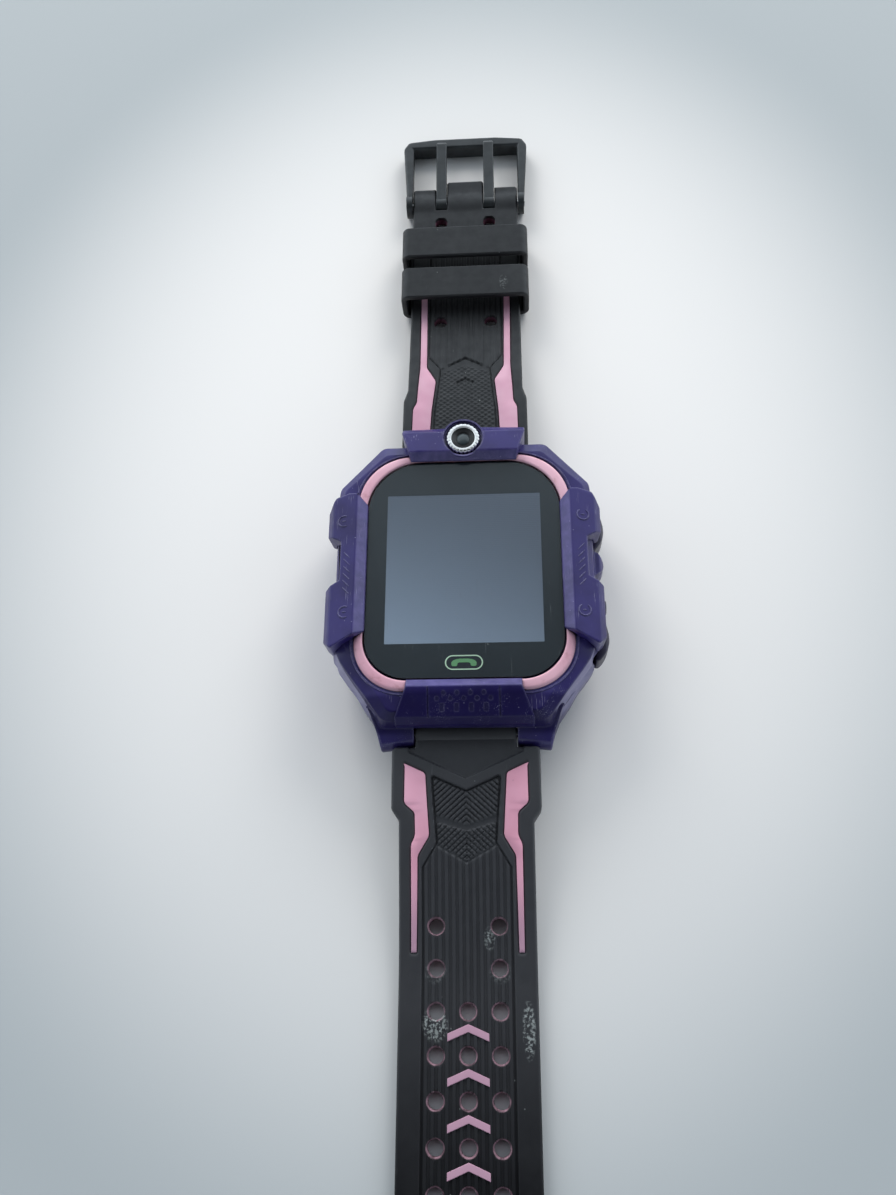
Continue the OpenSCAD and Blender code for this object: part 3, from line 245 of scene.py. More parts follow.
def holeRims(tree, axes, look):
    # the pink layer under the skin shows in the rims of the long strap's holes
    pitch = look["pitch"] * mm
    along = times(tree, plus(tree, axes[1], (look["barY"] + look["first"]) * mm), -1 / pitch)
    part = calc(tree, "SUBTRACT", calc(tree, "FRACT", plus(tree, along, 0.5)), 0.5)
    row = times(tree, part, pitch)
    away = size(tree, axes[0])
    middle = plus(tree, away, calc(tree, "LESS_THAN", along, look["plainRows"] - 0.5))
    column = calc(tree, "MINIMUM", middle, size(tree, calc(tree, "SUBTRACT", away, look["gap"] * mm)))
    reach = calc(tree, "SQRT", plus(tree, times(tree, row, row), times(tree, column, column)))
    worn = spread(tree, noise(tree, 900.0, 3.0), 0.35, 0.6, 0.3, 1.0)
    rim = times(tree, spreadMm(tree, reach, look["rim"]), worn)
    return times(tree, rim, calc(tree, "GREATER_THAN", along, -0.4))


def silicone(name, look, scuffs=(), holes=None, pinkHoles=()):
    finish, tree, shader = newFinish(name)
    axes = objectAxes(tree)
    haze = spread(tree, noise(tree, 160.0, 5.0), 0.4, 0.75)
    base = blendColour(tree, times(tree, haze, 0.12), look["colour"], look["dusty"])
    if holes:
        # painted sheen and shade: paler near the case, darker toward the tip, as the light falls along the strap
        base = blendColour(tree, spread(tree, axes[1], *look["nearFrom"]), look["far"], look["near"])
        base = blendColour(tree, times(tree, haze, 0.10), base, look["dusty"])
        base = blendColour(tree, times(tree, holeRims(tree, axes, holes), look["rimShare"]), base, look["pinkRim"])
        shine = spread(tree, axes[1], *look["shineFrom"], *look["shine"])
        tree.links.new(shine, shader.inputs["Specular IOR Level"])
    for x, y, radius in pinkHoles:
        away = oval(tree, axes, x * mm, y * mm, radius * mm, radius * mm)
        base = blendColour(tree, spread(tree, away, 1.05, 0.8), base, look["pinkWall"])
    chalk = times(tree, specks(tree, 750.0, 0.11, 0.06), 0.5)
    crumbs = spread(tree, noise(tree, 2600.0, 4.0), 0.47, 0.60)
    for x, y, wide, tall, strength in scuffs:
        away = oval(tree, axes, x * mm, y * mm, wide * mm, tall * mm)
        patch = times(tree, spread(tree, away, 1.0, 0.35), crumbs)
        chalk = most(tree, chalk, times(tree, patch, strength))
    lines = times(tree, hairlines(tree, 0.25, 7000.0, 160.0, 0.70, 0.77), 0.25)
    chalk = most(tree, chalk, lines, clamp=True)
    tree.links.new(blendColour(tree, chalk, base, look["chalk"]), shader.inputs["Base Color"])
    rough = spread(tree, noise(tree, 600.0, 4.0), 0.3, 0.7, look["rough"] - 0.06, look["rough"] + 0.08)
    tree.links.new(rough, shader.inputs["Roughness"])
    bump(tree, shader, noise(tree, 3800.0, 3.0), 0.25, 0.00004)
    return finish


def plainFinish(name, colour, rough, metal=0.0, vary=0.25, grain=2500.0, depth=0.00002):
    # a moulded, cast or rolled surface: its colour and gloss vary a little
    finish, tree, shader = newFinish(name)
    dark = tuple(c * (1 - vary) for c in colour) + (1,)
    share = spread(tree, noise(tree, grain * 0.2, 4.0), 0.35, 0.65)
    tree.links.new(blendColour(tree, share, tuple(colour) + (1,), dark), shader.inputs["Base Color"])
    gloss = spread(tree, noise(tree, grain * 0.4), 0.3, 0.7, rough * 0.85, rough * 1.15)
    tree.links.new(gloss, shader.inputs["Roughness"])
    shader.inputs["Metallic"].default_value = metal
    bump(tree, shader, noise(tree, grain, 2.0), 0.15, depth)
    return finish


def smoothInk(name, colour, rough):
    # ink or film under the glass: flat, with hardly any texture
    finish, tree, shader = newFinish(name)
    dark = tuple(c * 0.85 for c in colour) + (1,)
    share = spread(tree, noise(tree, 60.0, 2.0), 0.3, 0.7)
    tree.links.new(blendColour(tree, share, tuple(colour) + (1,), dark), shader.inputs["Base Color"])
    gloss = spread(tree, noise(tree, 90.0, 2.0), 0.3, 0.7, rough * 0.95, rough * 1.05)
    tree.links.new(gloss, shader.inputs["Roughness"])
    return finish


clearLook = {"gloss": (1, 1, 1, 1), "clear": (0.97, 0.98, 0.98, 1), "powder": (0.6, 0.63, 0.65, 1),
             "smudge": (0.02, 0.06), "speckShare": 0.35, "lineShare": 0.16, "heldBack": 0.06}


def clearGlass(name, look):
    # clear glass over the print: what is behind shows, and the sky mirrors at a slant
    finish, tree, shader = newFinish(name)
    tree.nodes.remove(shader)
    smudge = spread(tree, noise(tree, 70.0, 5.0), 0.4, 0.75, *look["smudge"])
    dust = most(tree, times(tree, specks(tree, 800.0, 0.09, 0.05), look["speckShare"]),
                times(tree, hairlines(tree, 0.9, 6000.0, 120.0, 0.69, 0.76), look["lineShare"]))
    gloss = addNode(tree, "ShaderNodeBsdfGlossy", {"Color": look["gloss"], "Roughness": smudge})
    clear = addNode(tree, "ShaderNodeBsdfTransparent", {"Color": look["clear"]})
    powder = addNode(tree, "ShaderNodeBsdfDiffuse", {"Color": look["powder"]})
    # the ink and the panel behind carry the flat reflection, the outer side of the glass the slanting one
    fresnel = addNode(tree, "ShaderNodeFresnel", {"IOR": 1.5})
    slant = calc(tree, "SUBTRACT", fresnel.outputs[0], look["heldBack"], clamp=True)
    inner = addNode(tree, "ShaderNodeNewGeometry").outputs["Backfacing"]
    slant = times(tree, slant, calc(tree, "SUBTRACT", 1.0, inner))
    glass = addNode(tree, "ShaderNodeMixShader", {0: slant, 1: clear.outputs[0], 2: gloss.outputs[0]})
    dusty = addNode(tree, "ShaderNodeMixShader", {0: dust, 1: glass.outputs[0], 2: powder.outputs[0]})
    tree.links.new(dusty.outputs[0], tree.nodes["Material Output"].inputs["Surface"])
    return finish


displayLook = {"dark": (0.074, 0.090, 0.121, 1), "pale": (0.205, 0.257, 0.335, 1), "slopeX": -14.3, "slopeY": -31.0,
               "slopeAt": 0.43, "power": 1.6, "mottle": 0.06, "rowScale": 900.0, "rowShare": 0.05, "rough": (0.14, 0.2)}


def displayFinish(name, look):
    # the unlit panel: grey-blue, with a painted sheen that makes it a little brighter at its lower left
    finish, tree, shader = newFinish(name)
    axes = objectAxes(tree)
    slope = plus(tree, times(tree, axes[0], look["slopeX"]), times(tree, axes[1], look["slopeY"]))
    share = calc(tree, "POWER", plus(tree, slope, look["slopeAt"], clamp=True), look["power"])
    share = plus(tree, share, times(tree, noise(tree, 40.0), look["mottle"]), clamp=True)
    waves = {"Scale": look["rowScale"], "Vector": objectPlace(tree)}
    rows = addNode(tree, "ShaderNodeTexWave", waves, bands_direction="Y").outputs["Fac"]
    share = plus(tree, share, times(tree, rows, look["rowShare"]), clamp=True)
    tree.links.new(blendColour(tree, share, look["dark"], look["pale"]), shader.inputs["Base Color"])
    tree.links.new(spread(tree, noise(tree, 200.0), 0.3, 0.7, *look["rough"]), shader.inputs["Roughness"])
    return finish


print("finishes")
purple = purplePlastic("purplePlastic", purpleLook)
packedDust = purplePlastic("packedDust", dustLook)
pinkRing = pinkPlastic("pinkRing", ringPinkLook, 0.36, 0.5)
pinkSilicone = pinkPlastic("pinkSilicone", pinkLook, 0.5)
longPink = pinkPlastic("longPink", longPinkLook, 0.5)
# scuffs: middle, half width, half length, strength
scuffPlaces = [(-4.9, -69.2, 2.2, 2.8, 0.9), (9.0, -70.0, 1.1, 4.6, 0.85), (3.3, -57.2, 1.0, 1.9, 0.8),
               (-4.9, -62.0, 1.9, 1.9, 0.25), (4.9, -62.0, 1.9, 1.9, 0.25)]
longHoles = {"barY": 26.0, "first": 29.4, "pitch": 6.05, "gap": 4.8, "plainRows": 2, "rim": (1.44, 1.24)}
longSilicone = silicone("longSilicone", siliconeLook, scuffPlaces, longHoles)
shortHoles = [(x, y, 1.2) for x in (-4.8, 4.8) for y in (55.6, 79.8)]
strapSilicone = silicone("strapSilicone", siliconeLook, pinkHoles=shortHoles)
keeperSilicone = silicone("keeperSilicone", siliconeLook, [(7.4, 62.0, 0.9, 2.0, 0.25)])
buckleBlack = plainFinish("buckleBlack", (0.027, 0.031, 0.034), 0.42, vary=0.3)
darkPlastic = plainFinish("darkPlastic", (0.020, 0.016, 0.045), 0.4, vary=0.3)
coverBlack = plainFinish("coverBlack", (0.018, 0.018, 0.020), 0.5)
printBlack = smoothInk("printBlack", (0.021, 0.027, 0.033), 0.12)
keyPlate = smoothInk("keyPlate", (0.014, 0.030, 0.020), 0.12)
keyLine = smoothInk("keyLine", (0.48, 0.66, 0.50), 0.2)
keyGreen = smoothInk("keyGreen", (0.13, 0.31, 0.15), 0.2)
display = displayFinish("displayPanel", displayLook)
glassClear = clearGlass("glassClear", clearLook)
chrome = plainFinish("chrome", (0.93, 0.92, 0.90), 0.3, metal=1.0, vary=0.15)
cameraBlack = plainFinish("cameraBlack", (0.016, 0.016, 0.017), 0.34)
lensGlass = plainFinish("lensGlass", (0.070, 0.088, 0.096), 0.08, vary=0.3)
steel = plainFinish("steel", (0.55, 0.55, 0.56), 0.3, metal=1.0)
canMetal = plainFinish("canMetal", (0.62, 0.62, 0.63), 0.35, metal=1.0)
boardGreen = plainFinish("boardGreen", (0.02, 0.10, 0.045), 0.45)
copperFilm = plainFinish("copperFilm", (0.70, 0.36, 0.10), 0.35, metal=1.0)
cellFoil = plainFinish("cellFoil", (0.55, 0.58, 0.60), 0.4, metal=0.6)
sealRubber = plainFinish("sealRubber", (0.03, 0.03, 0.03), 0.6)


# Mesh helpers

def finishMesh(mesh, sharp=40.0):
    for name in ("custom_normal", "sharp_edge"):
        if name in mesh.attributes:
            mesh.attributes.remove(mesh.attributes[name])
    mesh.shade_smooth()
    mesh.set_sharp_from_angle(angle=math.radians(sharp))


def addPiece(name, mesh, body, finish, replaced=()):
    piece = bpy.data.objects.new(name, mesh)
    bpy.context.scene.collection.objects.link(piece)
    mesh.materials.clear()
    mesh.materials.append(finish)
    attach(piece, body)
    if replaced:
        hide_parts(*replaced)
    return piece


def evenShading(piece):
    # flat faces stay flat between their rounded edges
    even = piece.modifiers.new("even", "WEIGHTED_NORMAL")
    even.mode = "FACE_AREA"
    even.weight = 90
    even.keep_sharp = True
    return piece


def meshFrom(name, points, faces, sharp=40.0):
    mesh = bpy.data.meshes.new(name)
    mesh.from_pydata([tuple(p) for p in points], [], [tuple(f) for f in faces])
    mesh.validate()
    finishMesh(mesh, sharp)
    return mesh


def step(x, low, high):
    t = np.clip((x - low) / (high - low), 0, 1)
    return t * t * (3 - 2 * t)


def joinShapes(mesh, shapes):
    # adds closed point-and-face shapes to a mesh
    bm = bmesh.new()
    bm.from_mesh(mesh)
    for points, faces in shapes:
        made = [bm.verts.new(p) for p in points]
        for f in faces:
            bm.faces.new([made[i] for i in f])
    bmesh.ops.recalc_face_normals(bm, faces=bm.faces)
    bm.to_mesh(mesh)
    bm.free()
    return mesh


def cleanCopy(nodeName, clean, weld):
    bm = bmesh.new()
    bm.from_mesh(nodes[nodeName].data)
    bmesh.ops.remove_doubles(bm, verts=bm.verts, dist=0.003 * mm)
    bmesh.ops.dissolve_limit(bm, angle_limit=math.radians(clean), verts=bm.verts, edges=bm.edges)
    if weld:
        bmesh.ops.dissolve_degenerate(bm, edges=bm.edges, dist=weld * mm)
    bmesh.ops.triangulate(bm, faces=[f for f in bm.faces if len(f.verts) > 8])
    return bm


def softened(nodeName, body, finish, bevel=0.2, segments=3, angle=28.0, shortest=0.3, clean=0.4, sharp=40.0,
             weld=0.0):
    # the CAD piece again, with its long edges rounded as a mould rounds them
    bm = cleanCopy(nodeName, clean, weld)
    low, high = (Vector(pick(v.co[i] for v in bm.verts) for i in range(3)) for pick in (min, max))
    edges = [e for e in bm.edges if len(e.link_faces) == 2 and e.calc_length() > shortest * mm
             and e.calc_face_angle(0) > math.radians(angle)]
    bmesh.ops.bevel(bm, geom=edges, offset=bevel * mm, offset_type="OFFSET", segments=segments, profile=0.5,
                    affect="EDGES", clamp_overlap=False)
    # no rounded corner stands out past the piece's own box
    for v in bm.verts:
        v.co = [min(max(c, a), b) for c, a, b in zip(v.co, low, high)]
    mesh = bpy.data.meshes.new(nodeName + "Soft")
    bm.to_mesh(mesh)
    bm.free()
    finishMesh(mesh, sharp)
    return evenShading(addPiece(nodeName + "_soft", mesh, body, finish, (nodeName,)))


def lathe(profile, steps, centre, radiusAt=None):
    # a closed profile of (radius, height, how much it follows radiusAt) turned round a vertical axis, in mm
    points, faces = [], []
    count = len(profile)
    for i in range(steps):
        turn = 2 * math.pi * i / steps
        swell = radiusAt(turn) if radiusAt else 0.0
        for radius, height, follows in profile:
            r = radius + follows * swell
            points.append(((centre[0] + r * math.cos(turn)) * mm, (centre[1] + r * math.sin(turn)) * mm,
                           (centre[2] + height) * mm))
    for i in range(steps):
        for j in range(count):
            a, b = i * count + j, i * count + (j + 1) % count
            c, d = ((i + 1) % steps) * count + (j + 1) % count, ((i + 1) % steps) * count + j
            faces.append((a, d, c, b))
    return points, faces


# Case

print("case")
shell = softened("case_shell", "case", purple, bevel=0.22, angle=26.0)
softened("left_guard", "case", purple, bevel=0.28, weld=0.3)
softened("right_guard", "case", purple, bevel=0.28, weld=0.3)
cameraHood = softened("camera_hood", "case", purple, bevel=0.22, shortest=0.6)
speakerHood = softened("speaker_hood", "case", purple, bevel=0.22, shortest=1.3)
softened("upper_button", "upper_button", darkPlastic, bevel=0.3, shortest=0.2)
softened("lower_button", "lower_button", darkPlastic, bevel=0.3, shortest=0.2)
softened("port_cover", "port_cover", darkPlastic, bevel=0.2, shortest=0.2)
softened("back_cover", "case", coverBlack, bevel=0.15)

plainNodes = {"back_gasket": sealRubber, "back_screws": steel, "display_frame": canMetal,
              "camera_module": cameraBlack, "camera_flex": copperFilm, "speaker": cameraBlack,
              "microphone": canMetal, "vibration_motor": steel, "main_board": boardGreen, "shield_can": canMetal,
              "card_holder": canMetal, "charge_port": steel, "antenna": copperFilm, "battery": cellFoil,
              "upper_switch": steel, "lower_switch": steel, "upper_spring_bar": steel, "lower_spring_bar": steel,
              "buckle_bar": steel}
for nodeName, finish in plainNodes.items():
    mesh = nodes[nodeName].data
    mesh.materials.clear()
    mesh.materials.append(finish)


# Lower corners of the shell swell a little between the guards and the lugs

cornerLook = {"across": (0.832, -0.555), "along": (0.555, 0.832), "cuts": 12, "least": 23.02, "full": 23.3,
              "places": [-14.0, -11.3, -9.3, -7.3, -4.8, -2.2, 0.4], "wall": [0.0, -0.2, -0.38, -0.15, 0.2, 0.35, 0.0],
              "edge": [0.0, 0.2, 0.22, 0.35, 0.5, 0.55, 0.1], "edgeRise": (7.0, 11.1), "deckRise": (12.2, 12.48),
              "edgeUp": 0.6, "edgeUpAt": 0.35, "topFrom": 12, "topRise": (20.2, 21.2), "cutRise": (33.6, 34.6),
              "cutBack": (14.5, 17.0), "topOut": 0.8, "cutOut": 0.65, "topUp": 0.25, "lugFrom": -27.2,
              "lugRise": (10.8, 12.4), "lugOut": 0.6, "pocket": (21.2, -15.6, 9.7), "cutArea": (8, -8), "merge": 0.01}


def rise(value, limits):
    return float(step(np.float64(value), *limits))


def swellCorners(piece, look):
    bm = bmesh.new()
    bm.from_mesh(piece.data)
    places = look["places"]
    for side in (-1, 1):
        for at in np.linspace(places[0], places[-1], look["cuts"] + 1) * mm:
            way = Vector((side * look["along"][0], look["along"][1], 0))
            near = [v for v in bm.verts if side * v.co.x > look["cutArea"][0] * mm and v.co.y < look["cutArea"][1] * mm]
            geom = set(near)
            for v in near:
                geom.update(v.link_edges)
                geom.update(v.link_faces)
            bmesh.ops.bisect_plane(bm, geom=list(geom), dist=look["merge"] * mm, plane_co=way * at, plane_no=way)
    for v in bm.verts:
        x, y, z = v.co / mm
        reach = abs(x) * look["across"][0] + y * look["across"][1]
        along = abs(x) * look["along"][0] + y * look["along"][1]
        rim, flat = rise(z, look["edgeRise"]), rise(z, look["deckRise"])
        if y > look["topFrom"]:
            # the upper edge and its two corners stand out a little as well
            top, cut = rise(y, look["topRise"]), rise(abs(x) + y, look["cutRise"]) * rise(y, look["cutBack"])
            share, half = rim * (1 - flat), look["cutOut"] * math.sqrt(0.5)
            outward = max(2 * half - look["topOut"], 0) * top + half * (1 - top)
            v.co.y += share * (look["topOut"] * top + half * cut * (1 - top)) * mm
            v.co.x += math.copysign(share * cut * outward * mm, x)
            v.co.z += share * look["topUp"] * max(top, cut) * mm
            continue
        if y < look["lugFrom"]:
            v.co.y -= look["lugOut"] * rise(abs(x), look["lugRise"]) * mm
        inPocket = abs(x) < look["pocket"][0] and y > look["pocket"][1] and z < look["pocket"][2]
        if inPocket or reach < look["least"] or not places[0] < along < places[-1]:
            continue
        grow = rise(reach, (look["least"], look["full"]))
        wall, edge = (float(np.interp(along, places, look[k])) for k in ("wall", "edge"))
        out = grow * (wall * (1 - rim) + edge * rim * (1 - flat))
        v.co.x += math.copysign(out * look["across"][0] * mm, v.co.x)
        v.co.y += out * look["across"][1] * mm
        v.co.z += grow * rim * (1 - flat) * min(edge / look["edgeUpAt"], 1) * look["edgeUp"] * mm
    bm.to_mesh(piece.data)
    bm.free()
    finishMesh(piece.data, 55)


def carve(piece, cutter, sharp=40.0):
    # cuts a closed mesh out of a piece
    tool = bpy.data.objects.new("cutter", cutter)
    bpy.context.scene.collection.objects.link(tool)
    cut = piece.modifiers.new("cut", "BOOLEAN")
    cut.operation = "DIFFERENCE"
    cut.solver = "EXACT"
    cut.object = tool
    piece.modifiers.move(len(piece.modifiers) - 1, 0)
    bpy.context.view_layer.update()
    carved = bpy.data.meshes.new_from_object(piece.evaluated_get(bpy.context.evaluated_depsgraph_get()))
    piece.modifiers.remove(cut)
    bpy.data.objects.remove(tool)
    piece.data = carved
    finishMesh(carved, sharp)


def bars(profile, spans):
    # closed bars along x: one (y, z) profile at several (from, to)
    points, faces, count = [], [], len(profile)
    for low, high in spans:
        start = len(points)
        points += [(x * mm, y * mm, z * mm) for x in (low, high) for y, z in profile]
        faces += [tuple(range(start, start + count)), tuple(range(start + 2 * count - 1, start + count - 1, -1))]
        for i in range(count):
            j = (i + 1) % count
            faces.append((start + i, start + count + i, start + count + j, start + j))
    return points, faces


def closedMesh(name, points, faces):
    mesh = bpy.data.meshes.new(name)
    joinShapes(mesh, [(points, faces)])
    return mesh


# dust rows: y, height, places along x, half width, half length
hoodCuts = {"ringGap": [(2.7, 13.95, 0), (3.35, 13.95, 0), (3.35, 15.4, 0), (2.7, 15.4, 0)], "ringAt": (0.0, 23.3, 0.0),
            "dust": [(-21.85, 14.425, (-3.12, -1.04, 1.04, 3.12), 0.5, 0.5),
                     (-22.65, 14.025, (-4.16, -2.08, 0.0, 2.08, 4.16), 0.5, 0.5),
                     (-23.9, 13.4, (-3.45, -1.15, 1.15, 3.45), 0.4, 0.65)],
            "dustDown": 0.07, "dustThick": 0.3, "faceSlope": 0.5,
            "panel": [(-20.9, 14.76), (-25.3, 12.56), (-25.3, 13.8), (-20.9, 16.0)], "panelAt": 5.6, "panelHalf": 0.08}


def dressCase(look):
    swellCorners(shell, cornerLook)
    points, faces = lathe(look["ringGap"], 96, look["ringAt"])
    carve(cameraHood, closedMesh("ringGap", points, faces))
    at, half = look["panelAt"], look["panelHalf"]
    points, faces = bars(look["panel"], [(side * at - half, side * at + half) for side in (-1, 1)])
    carve(speakerHood, closedMesh("panelLines", points, faces))
    # packed dust closes the holes a little below the face
    plugs = []
    for y, z, places, halfWide, halfLong in look["dust"]:
        tilt, thick = look["faceSlope"] * halfLong, look["dustThick"]
        low, high = z - tilt - look["dustDown"], z + tilt - look["dustDown"]
        profile = [(y - halfLong, low), (y + halfLong, high), (y + halfLong, high - thick), (y - halfLong, low - thick)]
        plugs.append(bars(profile, [(x - halfWide, x + halfWide) for x in places]))
    mesh = bpy.data.meshes.new("speakerDust")
    joinShapes(mesh, plugs)
    finishMesh(mesh)
    addPiece("speaker_dust", mesh, "case", packedDust)


# Moulded marks on the guards: an arc near each end and slanted ticks between

markLook = {"ridge": (17.55, 15.1), "fall": 0.2169, "r": 0.13, "arcR": 0.95,
            "left": {"arcs": [(-19.75, 7.9, 60, 300), (-19.1, -8.3, 60, 300)], "ticks": (-19.0, -4.6, 6)},
            "right": {"arcs": [(19.6, 8.1, 120, 420), (19.2, -8.7, 120, 420)], "ticks": (19.1, -3.9, 6)},
            "tickStep": 1.25, "tickLong": 1.2, "tickWide": 0.55, "tickThin": 0.8, "dash": 0.3, "arcSteps": 22}


def tube(path, radius, steps=8):
    # a round bead along a path, closed at both ends
    points, faces = [], []
    for i, p in enumerate(path):
        way = (path[min(i + 1, len(path) - 1)] - path[max(i - 1, 0)]).normalized()
        side = way.cross(Vector((0, 0, 1))).normalized()
        over = side.cross(way)
        slim = radius * (0.5 if i in (0, len(path) - 1) else 1)
        for k in range(steps):
            turn = 2 * math.pi * k / steps
            points.append(p + (side * math.cos(turn) + over * math.sin(turn)) * slim)
    for i in range(len(path) - 1):
        for k in range(steps):
            n = (k + 1) % steps
            faces.append((i * steps + k, i * steps + n, (i + 1) * steps + n, (i + 1) * steps + k))
    faces += [tuple(range(steps)), tuple(range((len(path) - 1) * steps, len(path) * steps))]
    return points, faces


def onGuard(x, y):
    x0, z0 = markLook["ridge"]
    return Vector((x, y, z0 - (abs(x) - x0) * markLook["fall"])) * mm


def buildMarks(name, look):
    shapes = []
    for cx, cy, start, end in look["arcs"]:
        turns, r = np.radians(np.linspace(start, end, markLook["arcSteps"])), markLook["arcR"]
        shapes.append(tube([onGuard(cx + r * math.cos(t), cy + r * math.sin(t)) for t in turns], markLook["r"] * mm))
        shapes.append(tube([onGuard(cx + s * markLook["dash"], cy) for s in (-1, 0, 1)], markLook["r"] * mm))
    tickX, tickY, count = look["ticks"]
    lean = -1 if tickX < 0 else 1
    for i in range(count):
        y = tickY + i * markLook["tickStep"]
        a = onGuard(tickX - lean * markLook["tickWide"], y - markLook["tickLong"] / 2)
        b = onGuard(tickX + lean * markLook["tickWide"], y + markLook["tickLong"] / 2)
        shapes.append(tube([a, (a + b) / 2, b], markLook["r"] * mm * markLook["tickThin"]))
    mesh = bpy.data.meshes.new(name)
    joinShapes(mesh, shapes)
    finishMesh(mesh, 60)
    addPiece(name, mesh, "case", purple)


# Front glass: a flat sheet with round corners and a softly turned rim, in a pink ring

glassLook = {"halfWide": 16.0, "halfLong": 19.2, "corner": 9.1, "lowCorner": 6.9, "shiftY": 0.15, "low": 12.9,
             "foot": 0.02, "wall": 0.2, "rimWide": 0.7, "rimHigh": 0.4, "rimSteps": 12}
panelLook = {"print": (15.95, 19.15, 9.05, 6.85), "view": (12.75, 13.25, 0.15), "low": 12.2, "printTop": 12.9,
             "viewTop": 12.87}


def roundedRect(halfWide, halfLong, corner, lowCorner=None, steps=20):
    line = []
    for cx, cy, start in ((1, 1, 0), (-1, 1, 90), (-1, -1, 180), (1, -1, 270)):
        r = lowCorner if cy < 0 and lowCorner else corner
        for i in range(steps + 1):
            turn = math.radians(start + 90 * i / steps)
            line.append((cx * (halfWide - r) + r * math.cos(turn), cy * (halfLong - r) + r * math.sin(turn)))
    return line


def raised(line, shift):
    return [(x, y + shift) for x, y in line]


def stackRings(rings):
    # rings of (outline, height) joined upward, closed flat at both ends
    points, faces, count = [], [], len(rings[0][0])
    for line, z in rings:
        points += [(x * mm, y * mm, z * mm) for x, y in line]
    for k in range(len(rings) - 1):
        for i in range(count):
            j = (i + 1) % count
            faces.append((k * count + i, k * count + j, (k + 1) * count + j, (k + 1) * count + i))
    faces.append(tuple(range(count))[::-1])
    faces.append(tuple(range((len(rings) - 1) * count, len(rings) * count)))
    return points, faces


def buildGlass(look):
    rim = [(0.0, look["foot"])]
    for turn in np.linspace(0, math.pi / 2, look["rimSteps"] + 1):
        rim.append((look["rimWide"] * (1 - math.cos(turn)), look["wall"] + look["rimHigh"] * math.sin(turn)))
    rings = []
    for inset, up in rim:
        outline = roundedRect(*(look[k] - inset for k in ("halfWide", "halfLong", "corner", "lowCorner")))
        rings.append((raised(outline, look["shiftY"]), look["low"] + up))
    points, faces = stackRings(rings)
    mesh = meshFrom("glassSheet", points, faces, 60)
    sheet = evenShading(addPiece("front_glass_sheet", mesh, "case", glassClear, ("front_glass",)))
    sheet.visible_shadow = False


def buildPanel(look):
    # the print and the unlit panel, as high as they look through the glass
    window = roundedRect(*look["view"])
    outline = raised(roundedRect(*look["print"]), glassLook["shiftY"])
    sheet = meshFrom("borderPrint", *band(outline, window, look["low"], look["printTop"], (0.0, 0.0)))
    addPiece("border_print_sheet", sheet, "case", printBlack, ("border_print",))
    sheet = meshFrom("displayPanel", *prism(window, look["low"], look["viewTop"], (0.0, 0.0)))
    addPiece("display_panel_sheet", sheet, "case", display, ("display_panel",))


def ringMesh(name, look):
    # a ring along two rounded outlines: (which outline, inset, height) round its section
    points, faces, lines = [], [], []
    for side, inset, z in look["section"]:
        w, l, r, lowR, shift = look[side]
        outline = raised(roundedRect(w - inset, l - inset, r - inset, lowR - inset), shift)
        lines.append([(x * mm, y * mm, z * mm) for x, y in outline])
    count = len(lines[0])
    for line in lines:
        points += line
    for k in range(len(lines)):
        nextUp = ((k + 1) % len(lines)) * count
        for i in range(count):
            j = (i + 1) % count
            faces.append((k * count + i, k * count + j, nextUp + j, nextUp + i))
    return meshFrom(name, points, faces, 45)


ringLook = {"outer": (17.7, 20.95, 9.0, 8.1, -0.2), "inner": (16.28, 19.5, 9.35, 7.15, 0.13),
            "section": [("outer", 0, 11.2), ("outer", 0, 12.62), ("outer", 0.08, 12.86), ("outer", 0.25, 13.03),
                        ("outer", 0.6, 13.16), ("inner", -0.4, 13.2), ("inner", -0.15, 13.15), ("inner", -0.04, 13.05),
                        ("inner", 0, 12.85), ("inner", 0, 11.2)]}
lipLook = {"outer": (18.3, 21.55, 9.6, 8.7, -0.2), "inner": (17.98, 21.23, 9.28, 8.38, -0.2),
           "section": [("outer", 0, 12.3), ("outer", 0, 12.72), ("outer", 0.07, 12.82), ("inner", -0.07, 12.82),
                       ("inner", 0, 12.72), ("inner", 0, 12.3)]}


def buildRing(look, lip):
    ring = addPiece("bezel_ring_turned", ringMesh("bezelRing", look), "case", pinkRing, ("bezel_ring",))
    evenShading(ring)
    addPiece("shell_lip", ringMesh("shellLip", lip), "case", purple)


buildGlass(glassLook)
buildRing(ringLook, lipLook)
dressCase(hoodCuts)
for side in ("left", "right"):
    buildMarks("guard_marks_" + side, markLook[side])


# Camera: notched bright ring, black barrel with a cupped face, domed lens

print("camera")
# profiles: radius, height under or over the ring's top or foot, and how much it follows the notches
cameraLook = {"place": (0.0, 23.3, 13.55), "notches": 24, "notchDepth": 0.2, "height": 1.0, "barrelDown": 0.12,
              "ringFoot": [(2.3, 0.05, 0), (2.8, 0.05, 1), (2.85, 0.15, 1)],
              "ringTop": [(2.85, -0.3, 1), (2.77, -0.12, 0.8), (2.61, 0, 0.2), (2.12, 0, 0), (2.03, -0.04, 0),
                          (2.0, -0.1, 0), (2.05, -0.16, 0), (2.3, -0.2, 0)],
              "barrelFoot": [(0.0, -0.35, 0), (2.25, -0.35, 0)],
              "barrelTop": [(2.25, -0.22, 0), (2.15, -0.12, 0), (1.97, -0.08, 0), (1.9, 0, 0), (1.55, -0.28, 0),
                            (1.5, -0.28, 0), (1.42, -0.36, 0), (1.2, -0.5, 0), (1.12, -0.52, 0), (1.12, -0.78, 0),
                            (0.0, -0.78, 0)],
              "dome": [(0.0, 0.15, 0), (1.1, 0.15, 0), (1.1, 0.4, 0), (0.98, 0.5, 0), (0.75, 0.61, 0), (0.45, 0.68, 0),
                       (0.15, 0.71, 0), (0.0, 0.712, 0)]}


